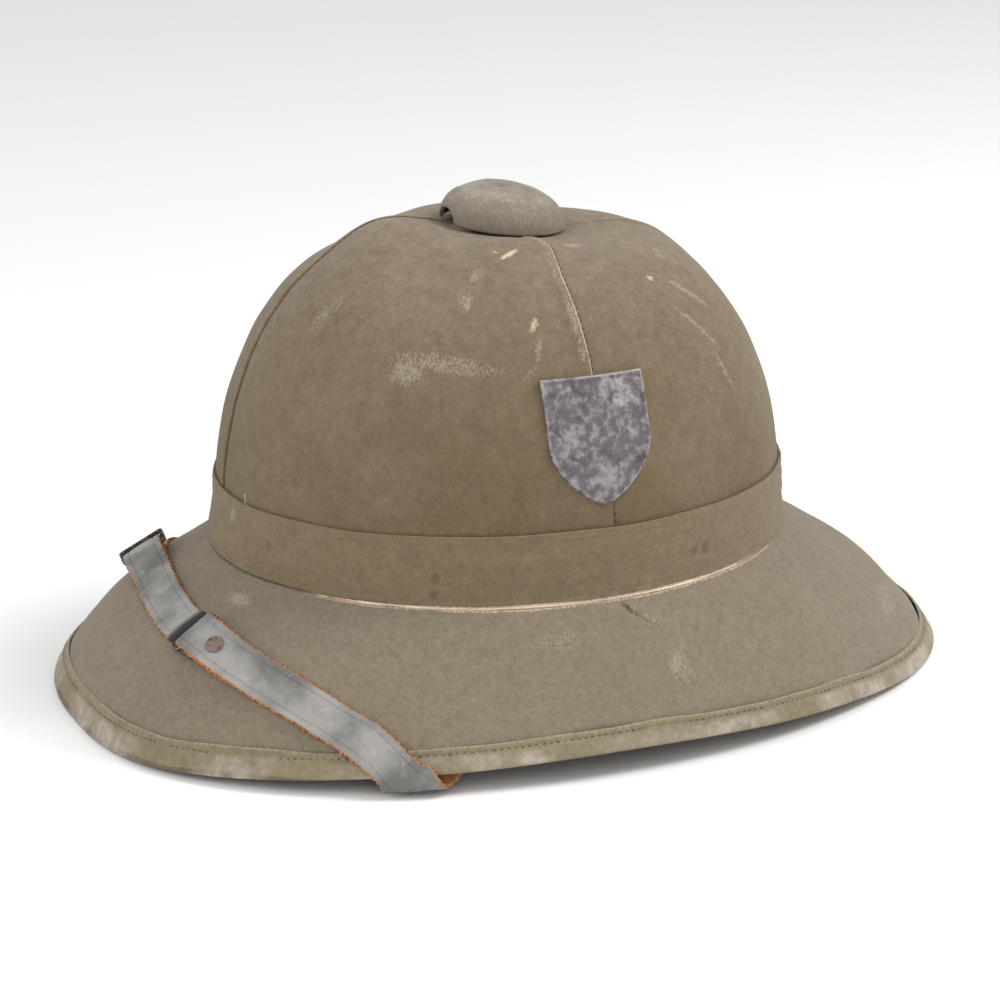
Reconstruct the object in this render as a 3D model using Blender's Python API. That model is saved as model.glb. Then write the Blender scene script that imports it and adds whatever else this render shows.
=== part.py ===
"""Sun helmet of pressed cork under a cloth cover, with a vent button, a bare shield badge and a leather strap.

Metres. The front is -Y, the wearer's left is +X, up is +Z, and the rim rests on z = 0 at the front and back.
An angle is the ellipse parameter round the crown's axis: 0 at the wearer's left, minus a quarter turn in front.
"""

import bmesh
import bpy
import numpy as np

for leftover in list(bpy.data.objects):
    bpy.data.objects.remove(leftover, do_unlink=True)

# Clearances and walls
GAP = 0.0003
CLOTH = 0.0010
SHELL_WALL = 0.0025

# Crown: half sizes at its foot, heights and the powers of its rounding
CROWN_HALF_LENGTH = 0.1105
CROWN_HALF_WIDTH = 0.0985
CROWN_FOOT = 0.0560
CROWN_HEIGHT = 0.1260
CROWN_REACH_POWER = 2.28
CROWN_RISE_POWER = 2.5
DISH_DEPTH = 0.0118
DISH_REACH = 0.50
VENT_HOLE_REACH = 0.090
GORE_TOP_REACH = 0.115
SIDE_SEAM_BACK = 2.0

# Brim: half sizes of the rim, how far it arches up at the sides, and the crown of its slope
BRIM_HALF_LENGTH = 0.1700
BRIM_HALF_WIDTH = 0.1360
BRIM_SIDE_LIFT = 0.0093
BRIM_BULGE = 0.0027
COVER_FOOT_BARE = 0.0020
PUCKER_DEPTH = 0.0006
BRIM_RIM = [
    {"from_front": 0, "reach": 1.000, "lift": 0.00},
    {"from_front": 30, "reach": 1.040, "lift": 0.28},
    {"from_front": 60, "reach": 1.020, "lift": 0.76},
    {"from_front": 90, "reach": 0.985, "lift": 1.00},
    {"from_front": 120, "reach": 0.990, "lift": 0.57},
    {"from_front": 150, "reach": 1.030, "lift": 0.06},
    {"from_front": 180, "reach": 1.045, "lift": 0.00},
]
RIM_LEVEL = 0.03

# Band and edge binding
BAND_HEIGHT = 0.0250
BAND_WALL = 0.0012
BAND_FOLD = 0.0004
BAND_SEAT = 0.0008
BINDING_WIDTH = 0.0090
BINDING_UNDER = 0.0065
REST_WIDTH = 0.0065
RIM_ROUND = 0.0010

# Vent button
CAP_RADIUS = 0.0237
CAP_HEIGHT = 0.0155
CAP_WALL = 0.0015
CAP_POWER = 2.3
CAP_BACK = 0.0035
NOTCH_HEIGHT = 0.0048
NOTCH_HALF_ANGLE = 0.30
STEM_RADIUS = 0.0040
STEM_NUT_RADIUS = 0.0130
STEM_NUT_HEIGHT = 0.0020

# Badge
BADGE_WIDTH = 0.0405
BADGE_HEIGHT = 0.0455
BADGE_WALL = 0.0010
BADGE_RIM = 0.0005
BADGE_RIM_WIDTH = 0.0018
BADGE_FOOT = 0.0350
BADGE_BACK = 0.0022
BADGE_TILT = 0.045
BADGE_LEAN = 0.95
BADGE_SHOULDER = 0.40
BADGE_POWER = 1.7

# Strap, sliders and rivets
STRAP_WIDTH = 0.0150
STRAP_WALL = 0.0017
STRAP_ROOM = 0.0004
STRAP_UNDER_ROOM = 0.0008
STRAP_SLACK = 0.0095
STRAP_STEP_BACK = 0.0110
STRAP_STEP_SPAN = 0.0060
STRAP_ROUTE = [
    {"from_front": 0, "way_left": 0.315, "way_right": 0.315},
    {"from_front": 10, "way_left": 0.350, "way_right": 0.285},
    {"from_front": 20, "way_left": 0.385, "way_right": 0.290},
    {"from_front": 31, "way_left": 0.475, "way_right": 0.365},
    {"from_front": 42, "way_left": 0.620, "way_right": 0.510},
    {"from_front": 51, "way_left": 0.790, "way_right": 0.730},
    {"from_front": 58, "way_left": 0.950, "way_right": 0.950},
    {"from_front": 61, "way_left": 1.200, "way_right": 1.200},
    {"from_front": 64, "way_left": 1.800, "way_right": 1.800},
    {"from_front": 67, "way_left": 2.050, "way_right": 2.050},
    {"from_front": 75, "way_left": 2.300, "way_right": 2.300},
    {"from_front": 83, "way_left": 2.650, "way_right": 2.650},
    {"from_front": 87, "way_left": 2.950, "way_right": 2.950},
    {"from_front": 88, "way_left": 3.100, "way_right": 3.100},
    {"from_front": 88, "way_left": 3.900, "way_right": 3.900},
]
SLIDER_LEFT_ANGLE = 17.0
SLIDER_RIGHT_ANGLE = 27.0
SLIDER_LENGTH = 0.0100
SLIDER_ROOM = 0.0004
SLIDER_SIDE = 0.0016
SLIDER_BAR = 0.0020
SLIDER_WALL = 0.0014
LOOP_RETURN = 0.0240
LOOP_RETURN_SHORT = 0.0120
TUCK = 0.0080
RIVET_FROM_LOOP = 0.0150
RIVET_HEAD_RADIUS = 0.0034
RIVET_HEAD_HEIGHT = 0.0008
RIVET_SHANK_RADIUS = 0.0016
ANCHOR_CLIMB = 0.0110

# Places along the strap's way, 1 at the rim's outer side and 2 beneath it, between which it lies askew
RIM_NEAR = 0.9
RIM_PAST = 2.2
SKEW_FROM = 0.62
SKEW_FULL = 0.87
SKEW_EASED = 2.25
SKEW_TO = 2.55

# Mesh fineness
ROUND_STEPS = 48
CROWN_STEPS = 9
BRIM_STEPS = 4
CAP_ROUND_STEPS = 32
RIVET_STEPS = 12
SEAM_ROOM = 0.01

# Depths below the cloth's outer face, from the same walls
SHELL_OUTER = CLOTH + GAP
SHELL_INNER = SHELL_OUTER + SHELL_WALL
UNDER_INNER = SHELL_INNER + GAP
UNDER_OUTER = UNDER_INNER + CLOTH
WRAP = CLOTH + GAP
MITRE = 0.384

# How far the brim's middle lies behind the crown's, which the finished pieces are moved forward by
FRAME_BACK = BRIM_HALF_LENGTH * (BRIM_RIM[-1]["reach"] - BRIM_RIM[0]["reach"]) / 2


def unit(vectors):
    """Vectors scaled to length one."""
    return vectors / np.linalg.norm(vectors, axis=-1, keepdims=True)


def smooth_curve(padded, place):
    """Smooth curve through evenly spaced values, with one spare value before the first and after the last."""
    index = np.clip(place.astype(int), 0, len(padded) - 4)
    share = place - index
    before, start, end, after = (padded[index + step] for step in range(4))
    slope_start = (end - before) / 2
    slope_end = (after - start) / 2
    square, cube = share**2, share**3
    return (
        start * (2 * cube - 3 * square + 1)
        + slope_start * (cube - 2 * square + share)
        + end * (3 * square - 2 * cube)
        + slope_end * (cube - square)
    )


def table_value(table, column, angle):
    """Smooth value of a column by the angle from the front, the same on the wearer's left and right."""
    values = np.array([row[column] for row in table], float)
    padded = np.concatenate([values[1:2], values, values[-2:-1]])
    from_front = np.degrees(np.arccos(np.clip(-np.sin(angle), -1.0, 1.0)))
    spacing = table[1]["from_front"] - table[0]["from_front"]
    return smooth_curve(padded, from_front / spacing)


def crown_height(reach, depth):
    """Height of the crown at a share of its reach: a superellipse, less a shallow dish round the vent."""
    foot = CROWN_FOOT - MITRE * depth
    top = CROWN_FOOT + CROWN_HEIGHT - depth
    rise = (1 - reach**CROWN_REACH_POWER) ** (1 / CROWN_RISE_POWER)
    dish = DISH_DEPTH * np.clip(1 - (reach / DISH_REACH) ** 2, 0, 1) ** 2
    return foot + (top - foot) * rise - dish


def crown_point(angle, reach, depth):
    """Point of the crown at an angle and a share of its reach, some depth below the cloth."""
    x = (CROWN_HALF_WIDTH - depth) * reach * np.cos(angle)
    y = (CROWN_HALF_LENGTH - depth) * reach * np.sin(angle)
    return np.stack([x, y, crown_height(reach, depth) + 0 * x], axis=-1)


def reach_at(climb):
    """Share of the crown's reach at a climb above its foot."""
    rise = np.clip(climb / CROWN_HEIGHT, 0, 1)
    return (1 - rise**CROWN_RISE_POWER) ** (1 / CROWN_REACH_POWER)


def rim_frame(angle):
    """Rim point, outward direction, down-slope direction, slope normal and slope length at an angle."""
    reach = table_value(BRIM_RIM, "reach", angle)
    lift = table_value(BRIM_RIM, "lift", angle)
    lift = BRIM_SIDE_LIFT * np.clip(lift - RIM_LEVEL, 0, 1) / (1 - RIM_LEVEL)
    rim = np.stack(
        [BRIM_HALF_WIDTH * reach * np.cos(angle), BRIM_HALF_LENGTH * reach * np.sin(angle), lift], axis=-1
    )
    foot = crown_point(angle, np.ones_like(angle), 0.0)
    span = rim - foot
    length = np.linalg.norm(span, axis=-1)
    flat = span * np.array([1.0, 1.0, 0.0])
    outward = unit(flat)
    down = unit(span)
    normal = outward * -down[..., 2:3]
    normal[..., 2] = np.linalg.norm(down[..., :2], axis=-1)
    return rim, outward, down, normal, length


def brim_point(angle, run, depth):
    """Point of the brim, run 0 at the crown's foot to 1 at the rim, some depth below the cloth."""
    rim, _, _, normal, _ = rim_frame(angle)
    depth = np.asarray(depth) + 0 * angle
    start = crown_point(angle, np.ones_like(angle), depth)
    end = rim - normal * (WRAP + depth)[..., None]
    run = (np.asarray(run) + 0 * angle)[..., None]
    bulge = BRIM_BULGE * 4 * run * (1 - run)
    return start + (end - start) * run + bulge * np.array([0.0, 0.0, 1.0])


def run_at_rise(angle, depth, rise):
    """Run at which the brim at a depth stands a rise above the rim: the root of its height's quadratic."""
    start = brim_point(angle, 0.0, depth)[..., 2]
    end = brim_point(angle, 1.0, depth)[..., 2]
    target = rim_frame(angle)[0][..., 2] + rise
    square = -4 * BRIM_BULGE
    linear = end - start + 4 * BRIM_BULGE
    fixed = start - target
    return 2 * fixed / (-linear + np.sqrt(linear**2 - 4 * square * fixed))


def run_back(angle, back):
    """Run at a distance up the slope from the rim."""
    return 1 - back / rim_frame(angle)[4]


def add_object(name, points, faces, colour, roughness, metallic=0.0):
    """Mesh object of points and faces, its faces turned outwards, with its own material."""
    mesh = bpy.data.meshes.new(name)
    mesh.from_pydata([tuple(point) for point in np.asarray(points) - [0.0, FRAME_BACK, 0.0]], [], faces)
    form = bmesh.new()
    form.from_mesh(mesh)
    bmesh.ops.recalc_face_normals(form, faces=form.faces)
    form.to_mesh(mesh)
    form.free()
    mesh.shade_smooth()
    mesh.set_sharp_from_angle(angle=np.radians(40))
    material = bpy.data.materials.new(name)
    material.use_nodes = True
    surface = material.node_tree.nodes["Principled BSDF"]
    surface.inputs["Base Color"].default_value = (*colour, 1.0)
    surface.inputs["Roughness"].default_value = roughness
    surface.inputs["Metallic"].default_value = metallic
    mesh.materials.append(material)
    piece = bpy.data.objects.new(name, mesh)
    bpy.context.scene.collection.objects.link(piece)
    return piece


def slab_mesh(outer, inner, closed):
    """Points and faces of a wall between two grids of rows and columns, closed round its columns or not."""
    rows, columns = outer.shape[:2]
    points = np.concatenate([outer.reshape(-1, 3), inner.reshape(-1, 3)])
    count = rows * columns
    faces = []
    spans = columns if closed else columns - 1
    for row in range(rows - 1):
        for column in range(spans):
            following = (column + 1) % columns
            quad = [
                row * columns + column,
                row * columns + following,
                (row + 1) * columns + following,
                (row + 1) * columns + column,
            ]
            faces.append(quad)
            faces.append([count + corner for corner in reversed(quad)])
    for row in (0, rows - 1):
        for column in range(spans):
            here = row * columns + column
            following = row * columns + (column + 1) % columns
            faces.append([here, following, count + following, count + here])
    if not closed:
        for column in (0, columns - 1):
            for row in range(rows - 1):
                here = row * columns + column
                below = here + columns
                faces.append([here, below, count + below, count + here])
    return points, faces


def add_slab(name, outer, inner, closed, colour, roughness, metallic=0.0):
    """Wall between two grids, as an object."""
    points, faces = slab_mesh(outer, inner, closed)
    return add_object(name, points, faces, colour, roughness, metallic)


def round_angles(steps=ROUND_STEPS):
    """Evenly spaced angles once round."""
    return np.linspace(0.0, 2 * np.pi, steps, endpoint=False)


def crown_reaches(top_reach):
    """Reach shares from the top ring down to the foot, even in turn below the vent hole so that walls nest."""
    hole_turn = np.arccos(VENT_HOLE_REACH ** (CROWN_REACH_POWER / 2))
    turns = np.linspace(hole_turn, 0.0, CROWN_STEPS + 1)[1:]
    return np.concatenate([[top_reach], np.cos(turns) ** (2 / CROWN_REACH_POWER)])


def shell():
    """Pressed cork crown and brim in one wall, open below, with the vent hole at the top."""
    angles = round_angles()
    grids = []
    for depth in (SHELL_OUTER, SHELL_INNER):
        crown = [crown_point(angles, reach, depth) for reach in crown_reaches(VENT_HOLE_REACH)]
        cut = run_at_rise(angles, depth, WRAP)
        brim = [brim_point(angles, cut * step / BRIM_STEPS, depth) for step in range(1, BRIM_STEPS + 1)]
        grids.append(np.stack(crown + brim))
    add_slab("shell", grids[0], grids[1], True, (0.62, 0.48, 0.36), 0.9)


def crown_gores():
    """Four cloth gores that meet along seams at the front, the back and both sides, on the shell's columns."""
    names = ["crown_back_left", "crown_back_right", "crown_front_right", "crown_front_left"]
    seams = np.radians([SIDE_SEAM_BACK, 90.0, 180.0 - SIDE_SEAM_BACK, 270.0, 360.0 + SIDE_SEAM_BACK])
    ring = np.concatenate([round_angles(), 2 * np.pi + round_angles()])
    for name, start, end in zip(names, seams[:-1], seams[1:]):
        between = ring[(ring > start + SEAM_ROOM) & (ring < end - SEAM_ROOM)]
        angles = np.concatenate([[start], between, [end]])
        grids = []
        for depth in (0.0, CLOTH):
            grid = np.stack([crown_point(angles, reach, depth) for reach in crown_reaches(GORE_TOP_REACH)])
            grid[:, 0] += GAP / 2 * np.array([-np.sin(start), np.cos(start), 0.0])
            grid[:, -1] += GAP / 2 * np.array([np.sin(end), -np.cos(end), 0.0])
            grids.append(grid)
        add_slab(name, grids[0], grids[1], False, (0.24, 0.20, 0.12), 0.95)


def brim_cover():
    """Cloth over the brim from the bare line at the crown's foot down into the binding."""
    angles = round_angles()
    first = COVER_FOOT_BARE / rim_frame(angles)[4]
    pucker = np.exp(-(((angles - np.radians(4)) / np.radians(6)) ** 2))
    grids = []
    for depth in (0.0, CLOTH):
        cut = run_at_rise(angles, depth, WRAP)
        rows = []
        for step in range(BRIM_STEPS + 1):
            share = step / BRIM_STEPS
            row = brim_point(angles, first + (cut - first) * share, depth)
            fold = PUCKER_DEPTH * pucker * 4 * share * (1 - share) * (step == 1)
            rows.append(row + fold[:, None] * np.array([0.0, 0.0, 1.0]))
        grids.append(np.stack(rows))
    add_slab("brim_cover", grids[0], grids[1], True, (0.30, 0.25, 0.17), 0.95)


def hat_band():
    """Folded cloth band round the crown's foot, thicker along its folded top edge."""
    angles = round_angles()
    section = [
        {"climb": 0.00, "proud": 0.00},
        {"climb": 0.50, "proud": 0.00},
        {"climb": 0.90, "proud": 0.00},
        {"climb": 0.94, "proud": 1.00},
        {"climb": 0.985, "proud": 1.00},
        {"climb": 1.00, "proud": 0.50},
    ]
    outer, inner = [], []
    for row in section:
        reach = reach_at(BAND_SEAT + (BAND_HEIGHT - BAND_SEAT) * row["climb"])
        outer.append(crown_point(angles, reach, -GAP - BAND_WALL - BAND_FOLD * row["proud"]))
        inner.append(crown_point(angles, reach, -GAP))
    add_slab("hat_band", np.stack(outer), np.stack(inner), True, (0.22, 0.18, 0.11), 0.95)


def edge_binding():
    """Cloth folded round the rim: a leg over the brim, a level underside to rest on, and a leg beneath."""
    angles = round_angles()
    rim, outward, _, _, length = rim_frame(angles)
    under_turn = run_at_rise(angles, UNDER_OUTER, 2 * RIM_ROUND)
    under_end = under_turn - BINDING_UNDER / length
    outer = [
        brim_point(angles, run_back(angles, BINDING_WIDTH), -WRAP),
        brim_point(angles, run_back(angles, BINDING_WIDTH / 2), -WRAP),
        brim_point(angles, run_at_rise(angles, -WRAP, RIM_ROUND), -WRAP),
        rim - outward * RIM_ROUND,
        rim - outward * (RIM_ROUND + REST_WIDTH),
        brim_point(angles, under_turn, UNDER_OUTER),
        brim_point(angles, under_end, UNDER_OUTER),
    ]
    inner = [
        brim_point(angles, run_back(angles, BINDING_WIDTH), -GAP),
        brim_point(angles, run_back(angles, BINDING_WIDTH / 2), -GAP),
        brim_point(angles, run_at_rise(angles, -GAP, 2 * RIM_ROUND), -GAP),
        brim_point(angles, run_at_rise(angles, -GAP, CLOTH), -GAP),
        brim_point(angles, run_at_rise(angles, UNDER_INNER / 2, CLOTH), UNDER_INNER / 2),
        brim_point(angles, run_at_rise(angles, UNDER_INNER, CLOTH), UNDER_INNER),
        brim_point(angles, under_end, UNDER_INNER),
    ]
    add_slab("edge_binding", np.stack(outer), np.stack(inner), True, (0.27, 0.23, 0.15), 0.95)


def cap_seat():
    """Height of the crown's dish under the button's rim."""
    reach = CAP_RADIUS / CROWN_HALF_WIDTH
    return float(crown_height(reach, 0.0)) + GAP


def vent_cap():
    """Domed button with an arched notch in front, hollow below."""
    angles = round_angles(steps=CAP_ROUND_STEPS)
    from_front = np.abs(np.arctan2(np.cos(angles), -np.sin(angles)))
    notch = NOTCH_HEIGHT * np.clip(1 - (from_front / NOTCH_HALF_ANGLE) ** 2, 0, 1) ** 0.5
    seat = cap_seat()
    grids = []
    for wall in (0.0, CAP_WALL):
        rows = []
        radius = CAP_RADIUS - wall
        height = CAP_HEIGHT - wall
        notch_turn = np.arcsin((notch / height) ** (CAP_POWER / 2))
        for share in (0.0, 0.12, 0.28, 0.45, 0.62, 0.78, 0.90, 0.975):
            turn = notch_turn + (np.pi / 2 - notch_turn) * share
            flat = radius * np.cos(turn) ** (2 / CAP_POWER)
            rise = height * np.sin(turn) ** (2 / CAP_POWER)
            rows.append(np.stack([flat * np.cos(angles), CAP_BACK + flat * np.sin(angles), seat + rise], axis=-1))
        grids.append(np.stack(rows))
    points, faces = slab_mesh(grids[0], grids[1], True)
    rows, columns = grids[0].shape[:2]
    last = (rows - 1) * columns
    count = rows * columns
    faces = [face for face in faces if not (min(face) >= last and min(face) < count and max(face) >= count + last)]
    faces.append([last + column for column in range(columns)])
    faces.append([count + last + column for column in reversed(range(columns))])
    add_object("vent_cap", points, faces, (0.31, 0.26, 0.18), 0.95)


def turned(name, profile, centre, axis_x, axis_y, axis_z, steps, colour, roughness, metallic):
    """Solid turned from radius and height pairs about an axis, closed by flat ends."""
    angles = round_angles(steps=steps)
    spokes = np.cos(angles)[:, None] * axis_x + np.sin(angles)[:, None] * axis_y
    points = np.concatenate([centre + spokes * radius + axis_z * height for radius, height in profile])
    faces = []
    for row in range(len(profile) - 1):
        for column in range(steps):
            following = (column + 1) % steps
            faces.append(
                [row * steps + column, row * steps + following, (row + 1) * steps + following, (row + 1) * steps + column]
            )
    faces.append(list(range(steps))[::-1])
    faces.append([(len(profile) - 1) * steps + column for column in range(steps)])
    return add_object(name, points, faces, colour, roughness, metallic)


def vent_stem():
    """Post that holds the button down, with a round nut under the shell."""
    seat = cap_seat()
    inner_share = STEM_RADIUS / (CAP_RADIUS - CAP_WALL)
    top = seat + (CAP_HEIGHT - CAP_WALL) * (1 - inner_share**CAP_POWER) ** (1 / CAP_POWER) - GAP
    hole = (CROWN_HALF_WIDTH - SHELL_INNER) * VENT_HOLE_REACH
    nut_reach = hole / CROWN_HALF_WIDTH
    nut_top = float(crown_height(nut_reach, SHELL_INNER)) - GAP
    profile = [
        (STEM_NUT_RADIUS, nut_top - STEM_NUT_HEIGHT),
        (STEM_NUT_RADIUS, nut_top),
        (STEM_RADIUS, nut_top),
        (STEM_RADIUS, top),
    ]
    centre = np.array([0.0, CAP_BACK, 0.0])
    turned("vent_stem", profile, centre, *np.eye(3), RIVET_STEPS, (0.25, 0.23, 0.21), 0.5, 1.0)


def badge_half_width(share):
    """Half width of the shield at a share of its height: straight sides above a rounded point."""
    foot = np.clip(1 - share / BADGE_SHOULDER, 0, 1)
    return BADGE_WIDTH / 2 * (1 - foot**BADGE_POWER) ** (1 / BADGE_POWER)


def badge_point(across, share, proud):
    """Point of the badge: across in metres from its middle, share of its height, proud of the crown cloth."""
    reach = reach_at(BADGE_FOOT + BADGE_HEIGHT * share * BADGE_LEAN)
    back = BADGE_BACK + across + BADGE_TILT * BADGE_HEIGHT * (1 - share)
    return crown_point(back / (CROWN_HALF_LENGTH * reach), reach, -proud)


def badge():
    """Bare shield plate that follows the crown, with a raised rim."""
    rim_share = BADGE_RIM_WIDTH / BADGE_HEIGHT
    heights = [rim_share / 4, rim_share, 0.10, 0.18, 0.28, 0.40, 0.58, 0.78, 1 - rim_share, 1.0]
    outer, inner = [], []
    for share in heights:
        half = badge_half_width(share)
        flat = max(half - BADGE_RIM_WIDTH, half * 0.5)
        across = np.array([-half, -flat, -flat * 0.5, 0.0, flat * 0.5, flat, half])
        border = share < rim_share * 1.01 or share > 1 - rim_share * 0.99
        raised = np.array([1.0, border, border, border, border, border, 1.0])
        outer.append(badge_point(across, share, GAP + BADGE_WALL + BADGE_RIM * raised))
        inner.append(badge_point(across, share, GAP * np.ones(7)))
    add_slab("badge", np.stack(outer), np.stack(inner), False, (0.32, 0.28, 0.31), 0.45, 0.8)


def strap_bed(angle, way):
    """Surface that the strap lies on, just clear of the cloth.

    Way 0 to 1 runs down over the brim to the rim, 1 to 2 round the rim on a slack curve, 2 to 3 up beneath
    the brim to the crown's foot, and 3 to 4 up the inside of the crown.
    """
    _, _, down, _, length = rim_frame(angle)
    foot_run = (COVER_FOOT_BARE * 2) / length
    over_end = run_at_rise(angle, -WRAP, 2 * RIM_ROUND)
    step_run = run_back(angle, BINDING_WIDTH + STRAP_STEP_BACK)
    run = foot_run + (over_end - foot_run) * np.clip(way, 0, 1)
    step = np.clip((run - step_run) / STRAP_STEP_SPAN * length, 0, 1)
    over = brim_point(angle, run, -STRAP_ROOM - WRAP * step)
    under_start = run_at_rise(angle, UNDER_OUTER, 3 * RIM_ROUND)
    under_run = under_start * (1 - np.clip(way - 2, 0, 1))
    under = brim_point(angle, under_run, UNDER_OUTER + STRAP_UNDER_ROOM)
    climb = ANCHOR_CLIMB * np.clip(way - 3, 0, 1)
    inside = crown_point(angle, reach_at(climb), UNDER_OUTER + STRAP_UNDER_ROOM)
    top_end = brim_point(angle, over_end, -STRAP_ROOM - WRAP)
    low_end = brim_point(angle, under_start, UNDER_OUTER + STRAP_UNDER_ROOM)
    turn = np.clip(way - 1, 0, 1)[..., None]
    slack = down * STRAP_SLACK
    curve = (
        top_end * (1 - turn) ** 3
        + (top_end + slack) * 3 * turn * (1 - turn) ** 2
        + (low_end + slack) * 3 * turn**2 * (1 - turn)
        + low_end * turn**3
    )
    way = np.asarray(way)[..., None]
    return np.where(way < 1, over, np.where(way < 2, curve, np.where(way < 3, under, inside)))


def route_column(column, before):
    """Values of a column of the route, padded by a value before the first and by the last itself."""
    return np.array([before] + [row[column] for row in STRAP_ROUTE] + [STRAP_ROUTE[-1][column]])


def route_at(position):
    """Angle and way along the strap's route, position counted in table rows, negative on the wearer's right."""
    place = np.abs(position)
    angles = route_column("from_front", -STRAP_ROUTE[1]["from_front"])
    from_front = np.sign(position) * smooth_curve(angles, place)
    left = smooth_curve(route_column("way_left", STRAP_ROUTE[1]["way_right"]), place)
    right = smooth_curve(route_column("way_right", STRAP_ROUTE[1]["way_left"]), place)
    return np.radians(from_front) - np.pi / 2, np.where(position < 0, right, left)


class StrapWay:
    """The strap's whole way from the anchor on the wearer's right to the one on the left, by arc length."""

    def __init__(self):
        last = len(STRAP_ROUTE) - 1
        self.positions = np.linspace(-last, last, 1401)
        angle, way = route_at(self.positions)
        points = strap_bed(angle, way)
        steps = np.linalg.norm(np.diff(points, axis=0), axis=-1)
        self.lengths = np.concatenate([[0.0], np.cumsum(steps)])
        self.lengths -= np.interp(0.0, self.positions, self.lengths)

    def length_at_angle(self, from_front):
        """Distance of the strap's middle at an angle from the front, negative on the wearer's right."""
        angle, way = route_at(self.positions)
        return float(np.interp(from_front, np.degrees(angle + np.pi / 2)[way < 1], self.lengths[way < 1]))

    def stations(self, start, end):
        """Distances of the sections between two distances, closest together round the rim."""
        way = [row["way_left"] for row in STRAP_ROUTE]
        places = []
        for row in range(len(way) - 1):
            steps = 6 if way[row + 1] > RIM_NEAR and way[row] < RIM_PAST else 2
            places.extend(row + np.arange(steps) / steps)
        places.append(len(way) - 1)
        places = np.concatenate([-np.array(places[:0:-1]), places])
        distances = np.interp(places, self.positions, self.lengths)
        return distances[(distances > start) & (distances < end)]

    def points(self, distance, across, height):
        """Points at distances along the way, shares across the strap and heights above its bed."""
        distance, across, height = np.broadcast_arrays(distance, across, height)
        position = np.interp(distance, self.lengths, self.positions)
        angle, way = route_at(position)
        small = 1e-4
        by_angle = (strap_bed(angle + small, way) - strap_bed(angle - small, way)) / (2 * small)
        by_way = (strap_bed(angle, way + small) - strap_bed(angle, way - small)) / (2 * small)
        ahead = route_at(position + 0.05)
        behind = route_at(position - 0.05)
        along = unit(strap_bed(*ahead) - strap_bed(*behind))
        normal = unit(np.cross(by_way, by_angle))
        side = np.cross(normal, along)
        tangent = unit(by_angle)
        cosine = np.sum(along * tangent, axis=-1)
        sine = np.sqrt(np.clip(1 - cosine**2, 0.05, 1))
        sign = np.sign(np.sum(side * tangent, axis=-1))
        near_rim = np.clip((way - SKEW_FROM) / (SKEW_FULL - SKEW_FROM), 0, 1)
        near_rim = near_rim * np.clip((SKEW_TO - way) / (SKEW_TO - SKEW_EASED), 0, 1)
        near_rim = near_rim * near_rim * (3 - 2 * near_rim)
        offset = side + along * (near_rim * sign * cosine / sine)[..., None]
        offset *= (STRAP_WIDTH / 2 * across)[..., None]
        aa = np.sum(by_angle * by_angle, axis=-1)
        ww = np.sum(by_way * by_way, axis=-1)
        aw = np.sum(by_angle * by_way, axis=-1)
        oa = np.sum(offset * by_angle, axis=-1)
        ow = np.sum(offset * by_way, axis=-1)
        whole = aa * ww - aw * aw
        shifted_angle = angle + (oa * ww - ow * aw) / whole
        shifted_way = way + (ow * aa - oa * aw) / whole
        base = strap_bed(shifted_angle, shifted_way)
        return base + normal * height[..., None]


STRAP_WAY = StrapWay()

# Heights of the stack where a strap folds round a slider's bar over the strap that slides beneath
UNDER_LAYER = STRAP_WALL / 2
LOW_LAYER = STRAP_WALL * 1.5 + GAP
BAR_MIDDLE = STRAP_WALL * 2 + GAP * 3 + SLIDER_WALL / 2
TOP_LAYER = STRAP_WALL * 2.5 + GAP * 5 + SLIDER_WALL
SEAT_BAR = SLIDER_WALL / 2
FOLD_RADIUS = (TOP_LAYER - LOW_LAYER) / 2
FOLD_OUT = SLIDER_BAR / 2 - GAP + FOLD_RADIUS + STRAP_WALL / 2


def fold_path(bar, back):
    """Distance and height pairs of a folded end: the return layer, the bend round the bar, then the top layer."""
    middle = (TOP_LAYER + LOW_LAYER) / 2
    centre = bar - SLIDER_BAR / 2 + GAP
    path = [
        (bar + back, UNDER_LAYER),
        (bar + back * 0.80, UNDER_LAYER),
        (bar + min(back * 0.62, TUCK * 1.8), UNDER_LAYER * 1.35),
        (bar + TUCK * 1.2, LOW_LAYER * 0.82),
        (bar + TUCK * 0.7, LOW_LAYER),
        (bar + TUCK * 0.3, LOW_LAYER),
        (bar, LOW_LAYER),
    ]
    for turn in np.radians(np.linspace(-90, 90, 7)):
        path.append((centre - FOLD_RADIUS * np.cos(turn), middle + FOLD_RADIUS * np.sin(turn)))
    path.append((bar, TOP_LAYER))
    path.append((bar + TUCK * 0.3, TOP_LAYER))
    path.append((bar + TUCK * 0.8, TOP_LAYER * 0.93))
    path.append((bar + TUCK * 1.4, TOP_LAYER * 0.72))
    return path


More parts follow.
